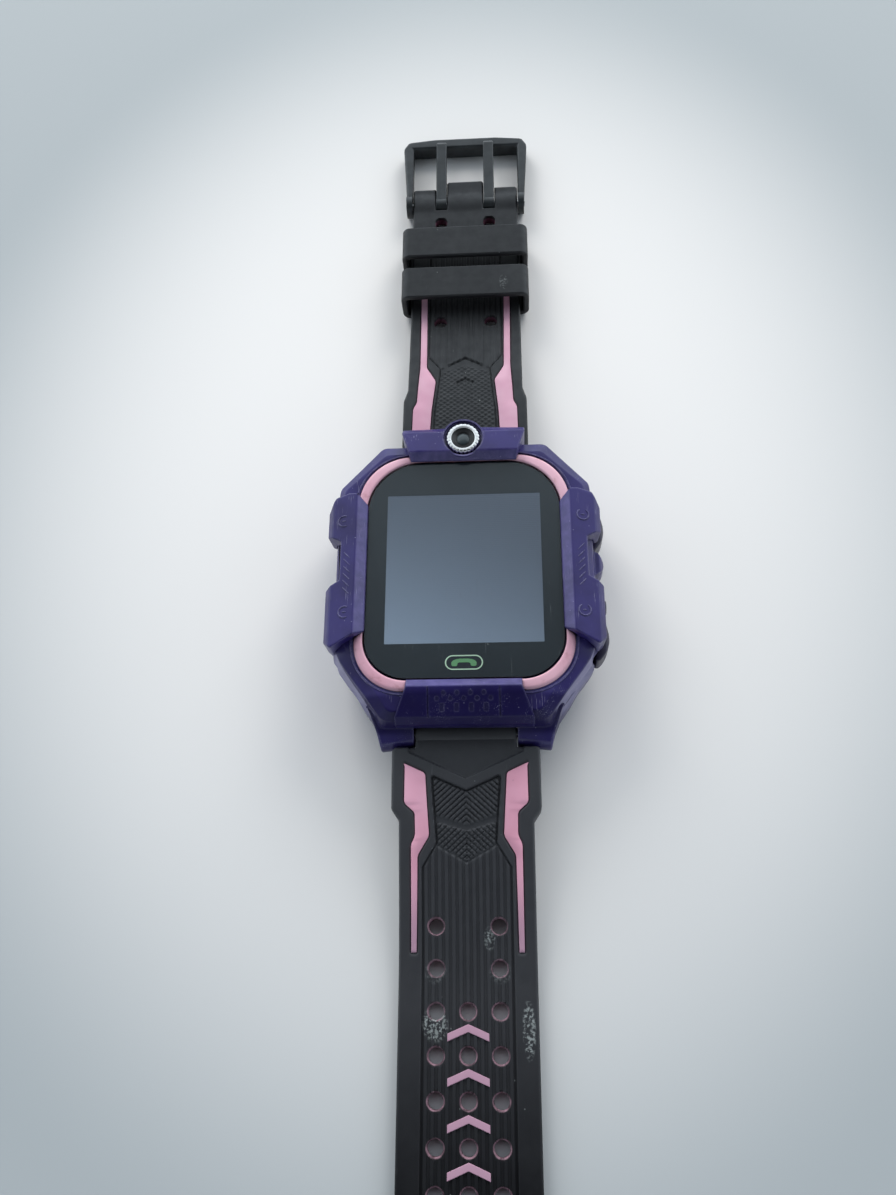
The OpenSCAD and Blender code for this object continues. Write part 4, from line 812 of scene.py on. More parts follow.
def buildCamera(look):
    def notch(turn):
        return -look["notchDepth"] * max(0.0, math.cos(turn * look["notches"])) ** 3
    def lifted(profile, top):
        return [(r, top + z, follows) for r, z, follows in profile]
    ring = look["ringFoot"] + lifted(look["ringTop"], look["height"])
    barrel = look["barrelFoot"] + lifted(look["barrelTop"], look["height"] - look["barrelDown"])
    mesh = meshFrom("cameraRingCut", *lathe(ring, look["notches"] * 8, look["place"], notch), 50)
    addPiece("camera_ring_cut", mesh, "case", chrome, ("camera_ring",))
    mesh = meshFrom("cameraBarrelCut", *lathe(barrel, 96, look["place"]), 35)
    addPiece("camera_barrel_cut", mesh, "case", cameraBlack, ("camera_barrel",))
    mesh = meshFrom("cameraLensDome", *lathe(look["dome"], 64, look["place"]), 35)
    addPiece("camera_lens_dome", mesh, "case", lensGlass, ("camera_lens",))


buildCamera(cameraLook)


# Call key: a pale outline and a green handset printed on a dark plate, under the glass

print("call key")
keyLook = {"middle": (0.0, -16.5), "wide": 6.0, "high": 2.45, "line": 0.19, "low": 12.8, "top": 12.915,
           "inkFrom": 12.85, "plateTop": 12.895, "plateInset": 0.02}
handsetHalf = [(0.6, 0.62), (1.2, 0.54), (1.72, 0.34), (1.98, 0.02), (1.98, -0.42), (1.82, -0.6), (1.22, -0.6),
               (1.06, -0.44), (1.02, -0.16), (0.75, 0.0)]
handset = handsetHalf + [(-x, y) for x, y in handsetHalf[::-1]]


def stadium(wide, high, steps=16):
    r, reach = high / 2, wide / 2 - high / 2
    turns = [math.pi * i / steps for i in range(steps + 1)]
    return ([(reach + r * math.sin(t), r * math.cos(t)) for t in turns]
            + [(-reach - r * math.sin(t), -r * math.cos(t)) for t in turns])


def prism(outline, low, top, middle):
    count = len(outline)
    points = [((middle[0] + x) * mm, (middle[1] + y) * mm, z * mm) for z in (low, top) for x, y in outline]
    faces = [tuple(range(count))[::-1], tuple(range(count, 2 * count))]
    faces += [(i, (i + 1) % count, count + (i + 1) % count, count + i) for i in range(count)]
    return points, faces


def band(outer, inner, low, top, middle):
    # a ring between two outlines of as many points
    count = len(outer)
    points = [((middle[0] + x) * mm, (middle[1] + y) * mm, z * mm) for line, z in
              ((outer, low), (outer, top), (inner, top), (inner, low)) for x, y in line]
    faces = []
    for layer in range(4):
        for i in range(count):
            j, up = (i + 1) % count, ((layer + 1) % 4) * count
            faces.append((layer * count + i, layer * count + j, up + j, up + i))
    return points, faces


def buildKey(look):
    middle, thin = look["middle"], 2 * look["line"]
    outer, inner = stadium(look["wide"], look["high"]), stadium(look["wide"] - thin, look["high"] - thin)
    mesh = meshFrom("callKeyLine", *band(outer, inner, look["inkFrom"], look["top"], middle))
    addPiece("call_key_line", mesh, "case", keyLine)
    mesh = meshFrom("callKeyHandset", *prism(handset[::-1], look["inkFrom"], look["top"], middle))
    addPiece("call_key_handset", mesh, "case", keyGreen)
    plate = stadium(look["wide"] - look["plateInset"], look["high"] - look["plateInset"])
    mesh = meshFrom("callKeyPlate", *prism(plate[::-1], look["low"], look["plateTop"], middle))
    addPiece("call_key_plate", mesh, "case", keyPlate, ("call_key",))


buildKey(keyLook)
buildPanel(panelLook)


# Straps: a ramp down from the bar, ribs, a knurled pad and holes, all in mm from the spring bar

print("straps")
strapLook = {"thick": 2.1, "barHeight": 5.5, "rootUp": 2.046, "rootDown": 1.65, "rampStart": 4.0, "rampEnd": 40.0,
             "bellyStart": 2.0, "bellyEnd": 34.0, "ribPitch": 1.05, "ribHalf": 0.27, "ribHeight": 0.19,
             "ribSoft": 0.05, "ribCount": 8, "ribEnd": 6.7, "fineStep": 0.15, "coarseStep": 0.4, "fineTo": 10.3,
             "edgeRound": 0.45, "underRound": 0.35, "roundShare": 0.8, "holeRound": 0.22, "holeUnder": 0.15,
             "grooveDrop": 0.28, "inlayDrop": 0.3, "groove": (0.10, 0.28), "sleeveOuter": 2.2, "sleeveInner": 0.8}
longLook = {"barY": -26.0, "rest": 0.0, "reach": 120.0, "firstHole": 29.4, "holePitch": 6.05, "rows": 13,
            "plainRows": 2, "holeGap": 4.8, "holeR": 1.14, "tip": 10.5, "sleeveHalf": 8.05,
            "edges": [0.0, 8.05, 10.5, 10.35, 10.2, 9.95, 11.7, 11.55, 11.4, 11.15, 6.95, 7.05, 7.15, 6.75, 9.0],
            "rowMarks": [0.0, 2.65, 2.75, 2.95, 3.25, 6.0, 12.0, 14.2, 21.2, 107.6, 107.9, 108.2, 108.35, 109.5, 119.0,
                         119.6, 119.85, 120.0],
            "shoulder": [(8.05, 0.0), (8.05, 2.65), (11.3, 2.65), (11.7, 3.05), (11.7, 12.0), (11.6, 12.4),
                         (10.6, 13.85), (10.5, 14.2)]}
shortLook = {"barY": 21.2, "rest": 1.2, "bar": 63.8, "holeR": 1.12, "holeGap": 4.8, "holes": (34.4, 58.6),
             "sleeveHalf": 11.2,
             "edges": [0.0, 3.4, 3.68, 5.92, 11.2, 11.1, 10.9, 10.65, 10.5, 10.35, 10.2, 9.95, 6.95, 7.1, 6.75],
             "rowMarks": [0.0, 8.0, 14.9, 15.3, 17.1, 17.6, 25.6, 60.2, 60.6, 61.0, 62.05, 67.1, 67.25, 67.4, 68.9,
                          69.05, 69.2],
             "outline": [(11.2, 0.0), (11.2, 14.9), (11.1, 15.3), (10.6, 17.1), (10.5, 17.6), (10.5, 67.1),
                         (10.2, 67.4), (5.92, 67.4), (5.92, 62.05), (3.68, 62.05), (3.68, 68.9), (3.4, 69.2)]}

# fields and pads: a line is (where it crosses the middle, how much it falls a mm outward)
longPad = {"depth": 0.3, "padDepth": 0.12, "tongueDrop": 0.42, "tongueLine": (7.7, 0.468), "tongueHalf": 9.2,
           "half": ([6.9, 17.3, 20.9, 200], [5.6, 4.8, 7.05, 7.05]), "topLine": (9.4, 0.446), "topShare": 0.913,
           "bluntR": 0.7, "bluntTo": 0.77, "fieldEnd": 108.3, "padEnd": (20.3, 0.55), "groove": 0.14,
           "pitch": 0.87, "crossPitch": 0.82, "slope": 0.88, "upperEnd": (14.7, 0.33), "lowerFrom": (15.6, 0.29),
           "lowerEnd": (20.2, 0.55), "knurl": 0.30, "upperBeads": 0.28, "lowerBeads": 0.6, "ribsEnd": (107.6, 107.9)}
shortPad = {"depth": 0.2, "groove": 0.14,
            "half": ([6.0, 12.5, 19.5, 22.4, 25.6, 200], [5.9, 5.6, 4.95, 4.75, 7.0, 7.0]),
            "fieldEnd": (53.0, 60.0), "humpFrom": (60.0, 61.5), "humpFoot": 2.25, "humpUp": 1.35, "humpHalf": 2.6,
            "humpSharp": 5, "peak": (25.1, 0.6), "pitch": 1.0, "slope": 0.8, "knurlEnd": (23.2, 0.35), "knurl": 0.10,
            "peakDrop": 0.26, "peakHalf": (3.1, 3.4), "lowPeak": (19.9, 0.6), "lowPeakDrop": 0.20,
            "lowPeakHalf": (1.6, 1.9), "grooveWide": (0.12, 0.36), "ribHeight": 0.12, "barRound": 1.85,
            "barHeight": 2.25}


inlayLook = {"proud": 0.03, "deep": 0.45, "round": 0.08, "step": 0.5, "least": 0.3, "end": 0.08, "blunt": 0.28}
longInlay = {"inner": [(9.6, 5.31), (6.41, 6.81), (5.8, 16.3), (7.6, 19.19), (7.8, 33.2)],
             "outer": [(9.6, 5.31), (9.65, 11.39), (8.0, 12.82), (7.95, 16.3), (8.6, 17.6), (8.6, 33.2)]}
shortInlay = {"inner": [(6.34, 6.0), (6.06, 12.54), (5.43, 19.46), (7.16, 22.8), (7.37, 38.0), (7.40, 46.6)],
              "outer": [(9.49, 6.0), (9.40, 12.9), (8.75, 14.3), (8.62, 18.0), (8.36, 22.8), (8.5, 38.0), (8.5, 46.6)]}


def blunted(line, r):
    # takes the corners off a line
    out = [line[0]]
    for before, at, after in zip(line, line[1:], line[2:]):
        for other in (before, after):
            far = math.hypot(other[0] - at[0], other[1] - at[1])
            k = min(r / far, 0.4)
            out.append((at[0] + (other[0] - at[0]) * k, at[1] + (other[1] - at[1]) * k))
    return out + [line[-1]]


for lines in (longInlay, shortInlay):
    for edge in ("inner", "outer"):
        lines[edge] = blunted(lines[edge], inlayLook["blunt"])


def ramp(s, start, end):
    return (1 + np.cos(np.pi * np.clip((s - start) / (end - start), 0, 1))) / 2


def topAt(s, rest):
    k = strapLook
    climb = k["barHeight"] + k["rootUp"] - rest - k["thick"]
    return rest + k["thick"] + climb * ramp(s, k["rampStart"], k["rampEnd"])


def underAt(s, rest):
    k = strapLook
    return rest + (k["barHeight"] - k["rootDown"] - rest) * ramp(s, k["bellyStart"], k["bellyEnd"])


def distanceTo(line, x, y):
    # distance and nearest point from each (x, y) to a closed outline
    best, nearX, nearY = np.full(x.shape, 1e9), x.copy(), y.copy()
    for (ax, ay), (bx, by) in zip(line, line[1:] + line[:1]):
        dx, dy = bx - ax, by - ay
        t = np.clip(((x - ax) * dx + (y - ay) * dy) / max(dx * dx + dy * dy, 1e-9), 0, 1)
        px, py = ax + t * dx, ay + t * dy
        d = np.hypot(x - px, y - py)
        closer = d < best
        best, nearX, nearY = np.where(closer, d, best), np.where(closer, px, nearX), np.where(closer, py, nearY)
    return best, nearX, nearY


def inside(line, x, y):
    odd = np.zeros(x.shape, bool)
    for (ax, ay), (bx, by) in zip(line, line[1:] + line[:1]):
        if ay == by:
            continue
        crosses = ((ay > y) != (by > y)) & (x < (bx - ax) * (y - ay) / (by - ay) + ax)
        odd ^= crosses
    return odd


def spaced(marks, gap):
    # all the marks, and even steps between them no wider than gap(middle)
    marks = sorted(marks)
    out = [marks[0]]
    for a, b in zip(marks, marks[1:]):
        if b - a < 0.02:
            continue
        count = max(1, math.ceil((b - a) / gap((a + b) / 2) - 1e-6))
        out += [a + (b - a) * i / count for i in range(1, count + 1)]
    return np.array(out)


def buildSlab(name, xs, ss, outline, holes, topHeight, underHeight, way, barY):
    # a thick sheet over the outline: its top and underside share one grid, with walls round the rim and the holes
    x, s = np.meshgrid(xs, ss, indexing="ij")
    midX, midS = (x[1:, 1:] + x[:-1, :-1]) / 2, (s[1:, 1:] + s[:-1, :-1]) / 2
    keep = inside(outline, midX, midS)
    for hx, hs, r in holes:
        keep &= np.hypot(midX - hx, midS - hs) > r
    padded = np.zeros((keep.shape[0] + 2, keep.shape[1] + 2), bool)
    padded[1:-1, 1:-1] = keep
    around = np.stack([padded[:-1, :-1], padded[1:, :-1], padded[:-1, 1:], padded[1:, 1:]])
    used, rim = around.any(0), around.any(0) & ~around.all(0)
    fromEdge, nearX, nearS = distanceTo(outline, x, s)
    holeEdge = np.full(x.shape, 1e9)
    for hx, hs, r in holes:
        away = np.hypot(x - hx, s - hs)
        gap = np.abs(away - r)
        closer = rim & (gap < fromEdge) & (gap < 0.6)
        scale = r / np.maximum(away, 1e-6)
        nearX, nearS = np.where(closer, hx + (x - hx) * scale, nearX), np.where(closer, hs + (s - hs) * scale, nearS)
    x, s = np.where(rim, nearX, x), np.where(rim, nearS, s)
    fromEdge = np.where(rim, 0, distanceTo(outline, x, s)[0])
    for hx, hs, r in holes:
        holeEdge = np.minimum(holeEdge, np.abs(np.hypot(x - hx, s - hs) - r))
    top, under = topHeight(x, s, fromEdge, holeEdge), underHeight(x, s, fromEdge, holeEdge)
    number = np.full(x.shape, -1, int)
    number[used] = np.arange(used.sum())
    count = int(used.sum())
    points = np.concatenate([np.stack([x[used], barY + way * s[used], h[used]], 1) for h in (top, under)]) * mm
    ii, jj = np.nonzero(keep)
    quad = np.stack([number[ii, jj], number[ii + 1, jj], number[ii + 1, jj + 1], number[ii, jj + 1]], 1)
    if way < 0:
        quad = quad[:, ::-1]
    faces = [quad, quad[:, ::-1] + count]
    sides = [((0, 1), (0, 0), (-1, 0)), ((1, 0), (1, 1), (1, 0)), ((0, 0), (1, 0), (0, -1)), ((1, 1), (0, 1), (0, 1))]
    for a, b, (di, dj) in sides:
        edge = ~padded[1 + ii + di, 1 + jj + dj]
        p, q = number[ii[edge] + a[0], jj[edge] + a[1]], number[ii[edge] + b[0], jj[edge] + b[1]]
        wall = np.stack([q, p, p + count, q + count], 1)
        faces.append(wall if way > 0 else wall[:, ::-1])
    faces = np.concatenate(faces)
    mesh = bpy.data.meshes.new(name)
    mesh.vertices.add(len(points))
    mesh.vertices.foreach_set("co", points.ravel())
    mesh.loops.add(faces.size)
    mesh.loops.foreach_set("vertex_index", faces.ravel().astype(np.int32))
    mesh.polygons.add(len(faces))
    mesh.polygons.foreach_set("loop_start", np.arange(0, faces.size, 4, dtype=np.int32))
    mesh.update(calc_edges=True)
    mesh.validate()
    return mesh


def sleeve(outer, inner, half, y, z, steps=48):
    # the tube of a strap round its bar, with rounded ends
    profile = [(inner, -half), (outer - 0.35, -half), (outer - 0.1, -half + 0.1), (outer, -half + 0.35),
               (outer, half - 0.35), (outer - 0.1, half - 0.1), (outer - 0.35, half), (inner, half)]
    points, faces = [], []
    count = len(profile)
    for i in range(steps):
        t = 2 * math.pi * i / steps
        points += [(x * mm, (y + r * math.cos(t)) * mm, (z + r * math.sin(t)) * mm) for r, x in profile]
    for i in range(steps):
        for j in range(count):
            k, n = (i + 1) % steps, (j + 1) % count
            faces.append((i * count + j, i * count + n, k * count + n, k * count + j))
    return points, faces


def ribs(x, half, height):
    pitch = strapLook["ribPitch"]
    away = np.abs((x / pitch + 0.5) % 1 - 0.5) * pitch
    return height * (1 - step(away, half - strapLook["ribSoft"], half + strapLook["ribSoft"]))


def wave(phase, share):
    # 0 in the grooves, 1 on the ribs
    away = np.abs(phase % 1 - 0.5) * 2
    return 1 - step(away, share, share + 0.35)


def rounding(away, radius):
    short = np.clip(radius - away, 0, radius)
    return radius - np.sqrt(np.maximum(radius * radius - short * short, 0))


def inlayGroove(lines, x, s):
    # the thin dark line where the pink meets the black
    loop = lines["inner"] + lines["outer"][::-1]
    away = distanceTo(loop, np.abs(x), s)[0]
    groove = strapLook["grooveDrop"] * (1 - step(away, *strapLook["groove"]))
    return np.where(inside(loop, np.abs(x), s), strapLook["inlayDrop"], groove)


def past(s, a, line):
    return s - (line[0] - line[1] * a)


def edgesRounded(z, fromEdge, holeEdge):
    z = z - rounding(fromEdge, strapLook["edgeRound"]) * strapLook["roundShare"]
    return z - rounding(holeEdge, strapLook["holeRound"])


def underRounded(z, fromEdge, holeEdge):
    z = z + rounding(fromEdge, strapLook["underRound"]) * strapLook["roundShare"]
    return z + rounding(holeEdge, strapLook["holeUnder"])


def longTop(x, s, fromEdge, holeEdge):
    k, pad, a = strapLook, longPad, np.abs(x)
    z = topAt(s, longLook["rest"]) - inlayGroove(longInlay, x, s)
    # tongue field above the raised V
    onTongue = (1 - step(past(s, a, pad["tongueLine"]), -0.16, 0.10)) * step(pad["tongueHalf"] - a, 0, 0.2)
    z -= pad["tongueDrop"] * onTongue
    # recess of the pad, the ribbed field below it, and the dark groove round both
    half, fromV, r = np.interp(s, *pad["half"]), past(s, a, pad["topLine"]), pad["bluntR"]
    corner = np.minimum(half - a, fromV * pad["topShare"])
    bluntCorner = r - np.hypot(r - (half - a), r - fromV * pad["topShare"])
    blunt = np.where((half - a < r) & (fromV < pad["bluntTo"]), bluntCorner, corner)
    border = np.minimum(np.minimum(blunt, corner), (pad["fieldEnd"] - s))
    recess = step(border, -0.05, 0.12)
    inPad = 1 - step(past(s, a, pad["padEnd"]), -0.25, 0.25)
    groove = pad["groove"] * step(border, 0.0, 0.08) * (1 - step(border, 0.22, 0.42))
    z -= recess * (pad["depth"] + pad["padDepth"] * inPad + groove)
    # knurled pad: nested chevrons above, chevrons broken into beads below
    knurl = wave((s - pad["slope"] * a) / pad["pitch"], 0.5)
    beads = wave((s + pad["slope"] * a) / pad["crossPitch"], 0.5)
    clear = step(border, 0.25, 0.5)
    upper = clear * (1 - step(past(s, a, pad["upperEnd"]), -0.1, 0.15))
    lower = clear * step(past(s, a, pad["lowerFrom"]), -0.1, 0.15) * (1 - step(past(s, a, pad["lowerEnd"]), -0.3, 0.0))
    upper = upper * (1 - pad["upperBeads"] + pad["upperBeads"] * beads)
    lower = lower * (1 - pad["lowerBeads"] + pad["lowerBeads"] * beads)
    z += pad["knurl"] * knurl * (upper + lower)
    # ribs along the strap
    ribbed = step(border, 0.35, 0.5) * (1 - inPad) * (1 - step(s, *pad["ribsEnd"]))
    z += ribs(x, k["ribHalf"], k["ribHeight"]) * ribbed
    return edgesRounded(z, fromEdge, holeEdge)


def longUnder(x, s, fromEdge, holeEdge):
    return underRounded(underAt(s, longLook["rest"]), fromEdge, holeEdge)


def longOutline():
    k = longLook
    right = k["shoulder"] + [(k["tip"] * math.cos(t), k["reach"] - k["tip"] + k["tip"] * math.sin(t))
                             for t in (math.pi / 2 * i / 24 for i in range(24))] + [(0.0, k["reach"])]
    return right + [(-x, s) for x, s in right[-2::-1]]


def acrossMarks(edges):
    # grid lines across a strap: its own edges and both sides of every rib
    k = strapLook
    sides = [i * k["ribPitch"] + a * k["ribHalf"] + b * k["ribSoft"]
             for i in range(k["ribCount"]) for a in (-1, 1) for b in (-1, 1)]
    marks = edges + [m for m in sides if 0.02 < m < k["ribEnd"]]
    marks = marks + [-m for m in marks]
    return spaced(marks, lambda x: k["fineStep"] if abs(x) < k["fineTo"] else k["coarseStep"])


def addStrap(name, look, outline, holes, topHeight, underHeight, way, gap, body, finish):
    k = strapLook
    xs, ss = acrossMarks(look["edges"]), spaced(look["rowMarks"], gap)
    mesh = buildSlab(name + "Slab", xs, ss, outline, holes, topHeight, underHeight, way, look["barY"])
    joinShapes(mesh, [sleeve(k["sleeveOuter"], k["sleeveInner"], look["sleeveHalf"], look["barY"], k["barHeight"])])
    finishMesh(mesh, 50)
    addPiece(name + "_moulded", mesh, body, finish, (name,))


def buildLongStrap(k):
    holes = []
    for row in range(k["rows"]):
        s = k["firstHole"] + row * k["holePitch"]
        holes += [(x, s, k["holeR"]) for x in (-k["holeGap"], k["holeGap"])]
        if row >= k["plainRows"]:
            holes.append((0.0, s, k["holeR"]))
    addStrap("long_strap", k, longOutline(), holes, longTop, longUnder, -1,
             lambda s: 0.14 if 6.0 < s < 21.2 else 0.26 if s < 105 else 0.3, "long_strap", longSilicone)


def shortTop(x, s, fromEdge, holeEdge):
    k, pad, a = strapLook, shortPad, np.abs(x)
    z = topAt(s, shortLook["rest"])
    bow = 1 - ((s - shortLook["bar"]) / pad["humpHalf"]) ** 2
    hump = pad["humpFoot"] + pad["humpUp"] * np.sqrt(np.maximum(bow, 0))
    z = z + np.log1p(np.exp((hump - z) * pad["humpSharp"])) / pad["humpSharp"] * step(s, *pad["humpFrom"])
    z = z - inlayGroove(shortInlay, x, s)
    border = np.interp(s, *pad["half"]) - a
    inField = 1 - step(s, *pad["fieldEnd"])
    z -= step(border, -0.05, 0.12) * (pad["depth"] + pad["groove"] * (1 - step(border, 0.18, 0.36))) * inField
    # knurled pad with two chevron grooves
    peak = past(s, a, pad["peak"])
    inPad = 1 - step(peak, -0.1, 0.1)
    phase, cross = (s - pad["slope"] * a) / pad["pitch"], (s + pad["slope"] * a) / pad["pitch"]
    clear = step(border, 0.3, 0.5)
    beads = wave(phase, 0.45) * wave(cross, 0.45) * clear
    z += pad["knurl"] * beads * (1 - step(past(s, a, pad["knurlEnd"]), -0.2, 0.2))
    z -= pad["peakDrop"] * (1 - step(np.abs(peak), *pad["grooveWide"])) * (1 - step(a, *pad["peakHalf"]))
    lowPeak = np.abs(past(s, a, pad["lowPeak"]))
    z -= pad["lowPeakDrop"] * (1 - step(lowPeak, *pad["grooveWide"])) * (1 - step(a, *pad["lowPeakHalf"]))
    z += ribs(x, k["ribHalf"], pad["ribHeight"]) * clear * (1 - inPad) * inField
    return edgesRounded(z, fromEdge, holeEdge)


def shortUnder(x, s, fromEdge, holeEdge):
    z, pad = underAt(s, shortLook["rest"]), shortPad
    bow = pad["barRound"] ** 2 - (s - shortLook["bar"]) ** 2
    z = np.minimum(z, np.where(bow > 0, pad["barHeight"] - np.sqrt(np.maximum(bow, 0)), 99))
    return underRounded(z, fromEdge, holeEdge)


def shortOutline():
    right = shortLook["outline"]
    return right + [(-x, s) for x, s in right[::-1]]


def buildShortStrap(k):
    holes = [(x, s, k["holeR"]) for s in k["holes"] for x in (-k["holeGap"], k["holeGap"])]
    addStrap("short_strap", k, shortOutline(), holes, shortTop, shortUnder, 1,
             lambda s: 0.15 if 6.0 < s < 26 else 0.2 if s > 60 else 0.28, "short_strap", strapSilicone)


# Inlays: flush pink strips, each between an inner and an outer line

def inlayShape(lines, rest, way, barY, side):
    inner, outer = np.array(lines["inner"]), np.array(lines["outer"])
    marks = sorted(set(inner[:, 1]) | set(outer[:, 1]))
    ss, end = spaced(marks, lambda s: inlayLook["step"]), inlayLook["end"]
    ss = np.concatenate([ss[:1], ss[:1] + end, ss[1:-1], ss[-1:] - end, ss[-1:]])
    r, points, faces, width = inlayLook["round"], [], [], 6
    for i, s in enumerate(ss):
        a, b = np.interp(s, inner[:, 1], inner[:, 0]), np.interp(s, outer[:, 1], outer[:, 0])
        b = max(b, a + inlayLook["least"])
        high = topAt(s, rest) + inlayLook["proud"] - (r if i in (0, len(ss) - 1) else 0)
        low = high - inlayLook["deep"]
        row = [(a, low), (a, high - r), (a + r, high), (b - r, high), (b, high - r), (b, low)]
        points += [(side * x * mm, (barY + way * s) * mm, z * mm) for x, z in row]
    for i in range(len(ss) - 1):
        for j in range(width):
            a, b = i * width + j, i * width + (j + 1) % width
            faces.append((a, b, b + width, a + width))
    faces += [tuple(range(width)), tuple(range((len(ss) - 1) * width, len(ss) * width))]
    return points, faces


def buildInlays(name, lines, look, way, body, node, finish):
    mesh = bpy.data.meshes.new(name)
    joinShapes(mesh, [inlayShape(lines, look["rest"], way, look["barY"], side) for side in (-1, 1)])
    finishMesh(mesh, 50)
    addPiece(name, mesh, body, finish, (node,))


buildLongStrap(longLook)
buildShortStrap(shortLook)
buildInlays("long_inlay_strips", longInlay, longLook, -1, "long_strap", "long_inlays", longPink)
buildInlays("short_inlay_strips", shortInlay, shortLook, 1, "short_strap", "short_inlays", pinkSilicone)
softened("long_motif", "long_strap", longPink, bevel=0.1, segments=2)

print("keepers and buckle")
for keeper in ("front_keeper", "rear_keeper"):
    softened(keeper, keeper, keeperSilicone, bevel=0.3, angle=50.0, shortest=0.0)
buckle = softened("buckle_frame", "buckle", buckleBlack, bevel=0.55, segments=5)
prongs = [softened(prong, prong, buckleBlack, bevel=0.3) for prong in ("left_prong", "right_prong")]
buckleLook = {"innerFrom": 97.5, "innerTo": 100.4, "innerShift": 1.3, "innerWide": 11.45, "outerWide": 11.5,
              "sides": ([84.0, 88.0, 96.0, 101.0], [-0.85, -0.75, -0.2, 0.1]), "tipFrom": 98.0, "tipShift": 1.1}


def shapeBuckle(look):
    # a slimmer cross bar, sides that taper toward the feet, longer prong tips
    for v in buckle.data.vertices:
        x, y, z = v.co / mm
        if look["innerFrom"] < y < look["innerTo"] and abs(x) < look["innerWide"]:
            v.co.y += look["innerShift"] * mm
        if abs(x) > look["outerWide"]:
            v.co.x += math.copysign(1, x) * float(np.interp(y, *look["sides"])) * mm
    for prong in prongs:
        for v in prong.data.vertices:
            if v.co.y > look["tipFrom"] * mm:
                v.co.y += look["tipShift"] * mm


shapeBuckle(buckleLook)


# Table, sky and camera

print("table, light and camera")
tableLook = {"size": 3.0, "down": 0.02, "bright": (0.92, 0.90, 0.89, 1), "dim": (0.45, 0.485, 0.505, 1),
             "middle": (-0.0027, 0.024), "reach": (0.084, 0.104), "fade": (0.03, 1.7), "rough": 0.7, "gloss": 0.2}


def buildTable(look):
    half = look["size"] / 2
    mesh = bpy.data.meshes.new("table")
    mesh.from_pydata([(-half, -half, 0), (half, -half, 0), (half, half, 0), (-half, half, 0)], [], [(0, 1, 2, 3)])
    table = bpy.data.objects.new("table", mesh)
    bpy.context.scene.collection.objects.link(table)
    table.location.z = -look["down"] * mm
    finish, tree, shader = newFinish("tableTop")
    # painted light: the table top is painted brightest round the watch and dimmer outward, as a pool of light
    share = spread(tree, oval(tree, objectAxes(tree), *look["middle"], *look["reach"]), *look["fade"])
    tree.links.new(blendColour(tree, share, look["bright"], look["dim"]), shader.inputs["Base Color"])
    shader.inputs["Roughness"].default_value = look["rough"]
    shader.inputs["Specular IOR Level"].default_value = look["gloss"]
    bump(tree, shader, noise(tree, 1800.0, 3.0), 0.05, 0.00002)
    mesh.materials.append(finish)


skyLook = {"overhead": (0.02, -0.22, 0.975), "darkFrom": (0.72, 0.93), "darkLevels": (1.02, 0.07),
           "nearFrom": (-0.3, 0.3), "nearLevels": (0.15, 1.0), "beltFrom": (0.35, 0.6), "beltLevels": (0.75, 0.0),
           "lit": (0.86, 0.96, 1.05, 1), "seen": (0.80, 0.835, 0.865, 1)}


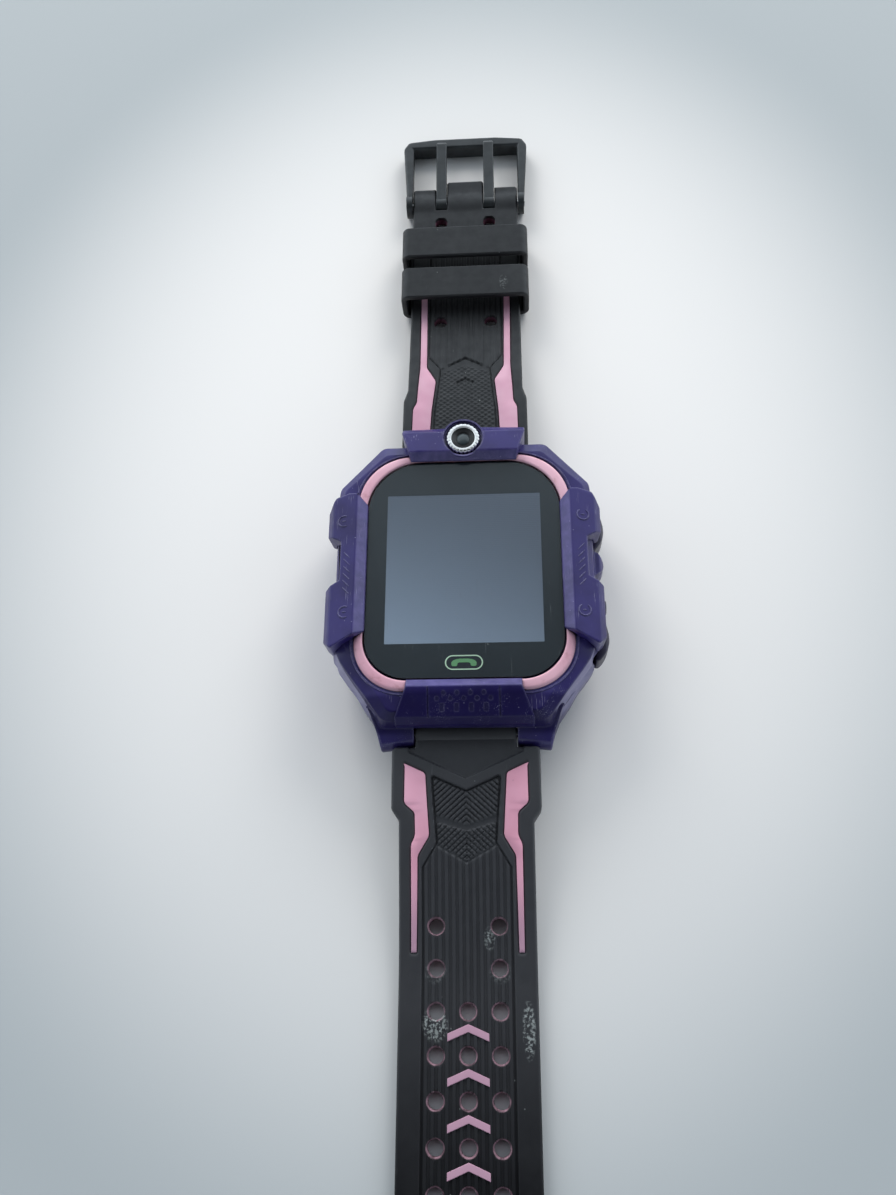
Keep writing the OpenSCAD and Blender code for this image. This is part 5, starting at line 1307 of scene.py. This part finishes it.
def buildSky(look):
    world = bpy.data.worlds.new("studio")
    bpy.context.scene.world = world
    world.use_nodes = True
    tree = world.node_tree
    tree.nodes.clear()
    way = addNode(tree, "ShaderNodeTexCoord").outputs["Generated"]
    # pale all round, dark overhead and duller on the near side
    overhead = addNode(tree, "ShaderNodeVectorMath", {0: way, 1: look["overhead"]}, operation="DOT_PRODUCT")
    level = spread(tree, overhead.outputs["Value"], *look["darkFrom"], *look["darkLevels"])
    parts = addNode(tree, "ShaderNodeSeparateXYZ", {0: way}).outputs
    level = times(tree, level, spread(tree, parts[1], *look["nearFrom"], *look["nearLevels"]))
    level = plus(tree, level, spread(tree, parts[2], *look["beltFrom"], *look["beltLevels"]))
    direct = addNode(tree, "ShaderNodeLightPath").outputs["Is Camera Ray"]
    lit = addNode(tree, "ShaderNodeBackground", {"Color": look["lit"], "Strength": level})
    seen = addNode(tree, "ShaderNodeBackground", {"Color": look["seen"], "Strength": 1.0})
    mix = addNode(tree, "ShaderNodeMixShader", {0: direct, 1: lit.outputs[0], 2: seen.outputs[0]})
    out = addNode(tree, "ShaderNodeOutputWorld")
    tree.links.new(mix.outputs[0], out.inputs["Surface"])


cameraPlace = {"position": (7.44, -69.63, 169.52), "pitch": 67.466, "yaw": -8.847, "roll": -9.345, "lens": 31.63,
               "sensor": 36.0, "nearest": 0.01}


def buildView(look):
    pitch, yaw, roll = (math.radians(look[k]) for k in ("pitch", "yaw", "roll"))
    forward = Vector((math.sin(yaw) * math.cos(pitch), math.cos(yaw) * math.cos(pitch), -math.sin(pitch)))
    level = forward.cross(Vector((0, 0, 1))).normalized()
    above = level.cross(forward)
    right = level * math.cos(roll) + above * math.sin(roll)
    up = above * math.cos(roll) - level * math.sin(roll)
    data = bpy.data.cameras.new("view")
    data.sensor_width = look["sensor"]
    data.lens = look["lens"]
    data.clip_start = look["nearest"]
    view = bpy.data.objects.new("view", data)
    bpy.context.scene.collection.objects.link(view)
    turn = Matrix((right, up, -forward)).transposed().to_4x4()
    view.matrix_world = Matrix.Translation(Vector(look["position"]) * mm) @ turn
    bpy.context.scene.camera = view


lampLook = {"side": 0.34, "back": 0.72, "up": 0.40, "size": 0.4, "power": 3.6, "colour": (1.0, 0.97, 0.92)}


def addLamp(name, side, look):
    data = bpy.data.lights.new(name, "AREA")
    data.shape = "SQUARE"
    data.size = look["size"]
    data.energy = look["power"]
    data.color = look["colour"]
    lamp = bpy.data.objects.new(name, data)
    bpy.context.scene.collection.objects.link(lamp)
    lamp.location = (side * look["side"], look["back"], look["up"])
    lamp.visible_glossy = False
    lamp.rotation_euler = (-lamp.location).to_track_quat("-Z", "Y").to_euler()


buildTable(tableLook)
buildSky(skyLook)
buildView(cameraPlace)
addLamp("leftBox", -1, lampLook)
addLamp("rightBox", 1, lampLook)
bpy.context.scene.view_settings.view_transform = "Standard"
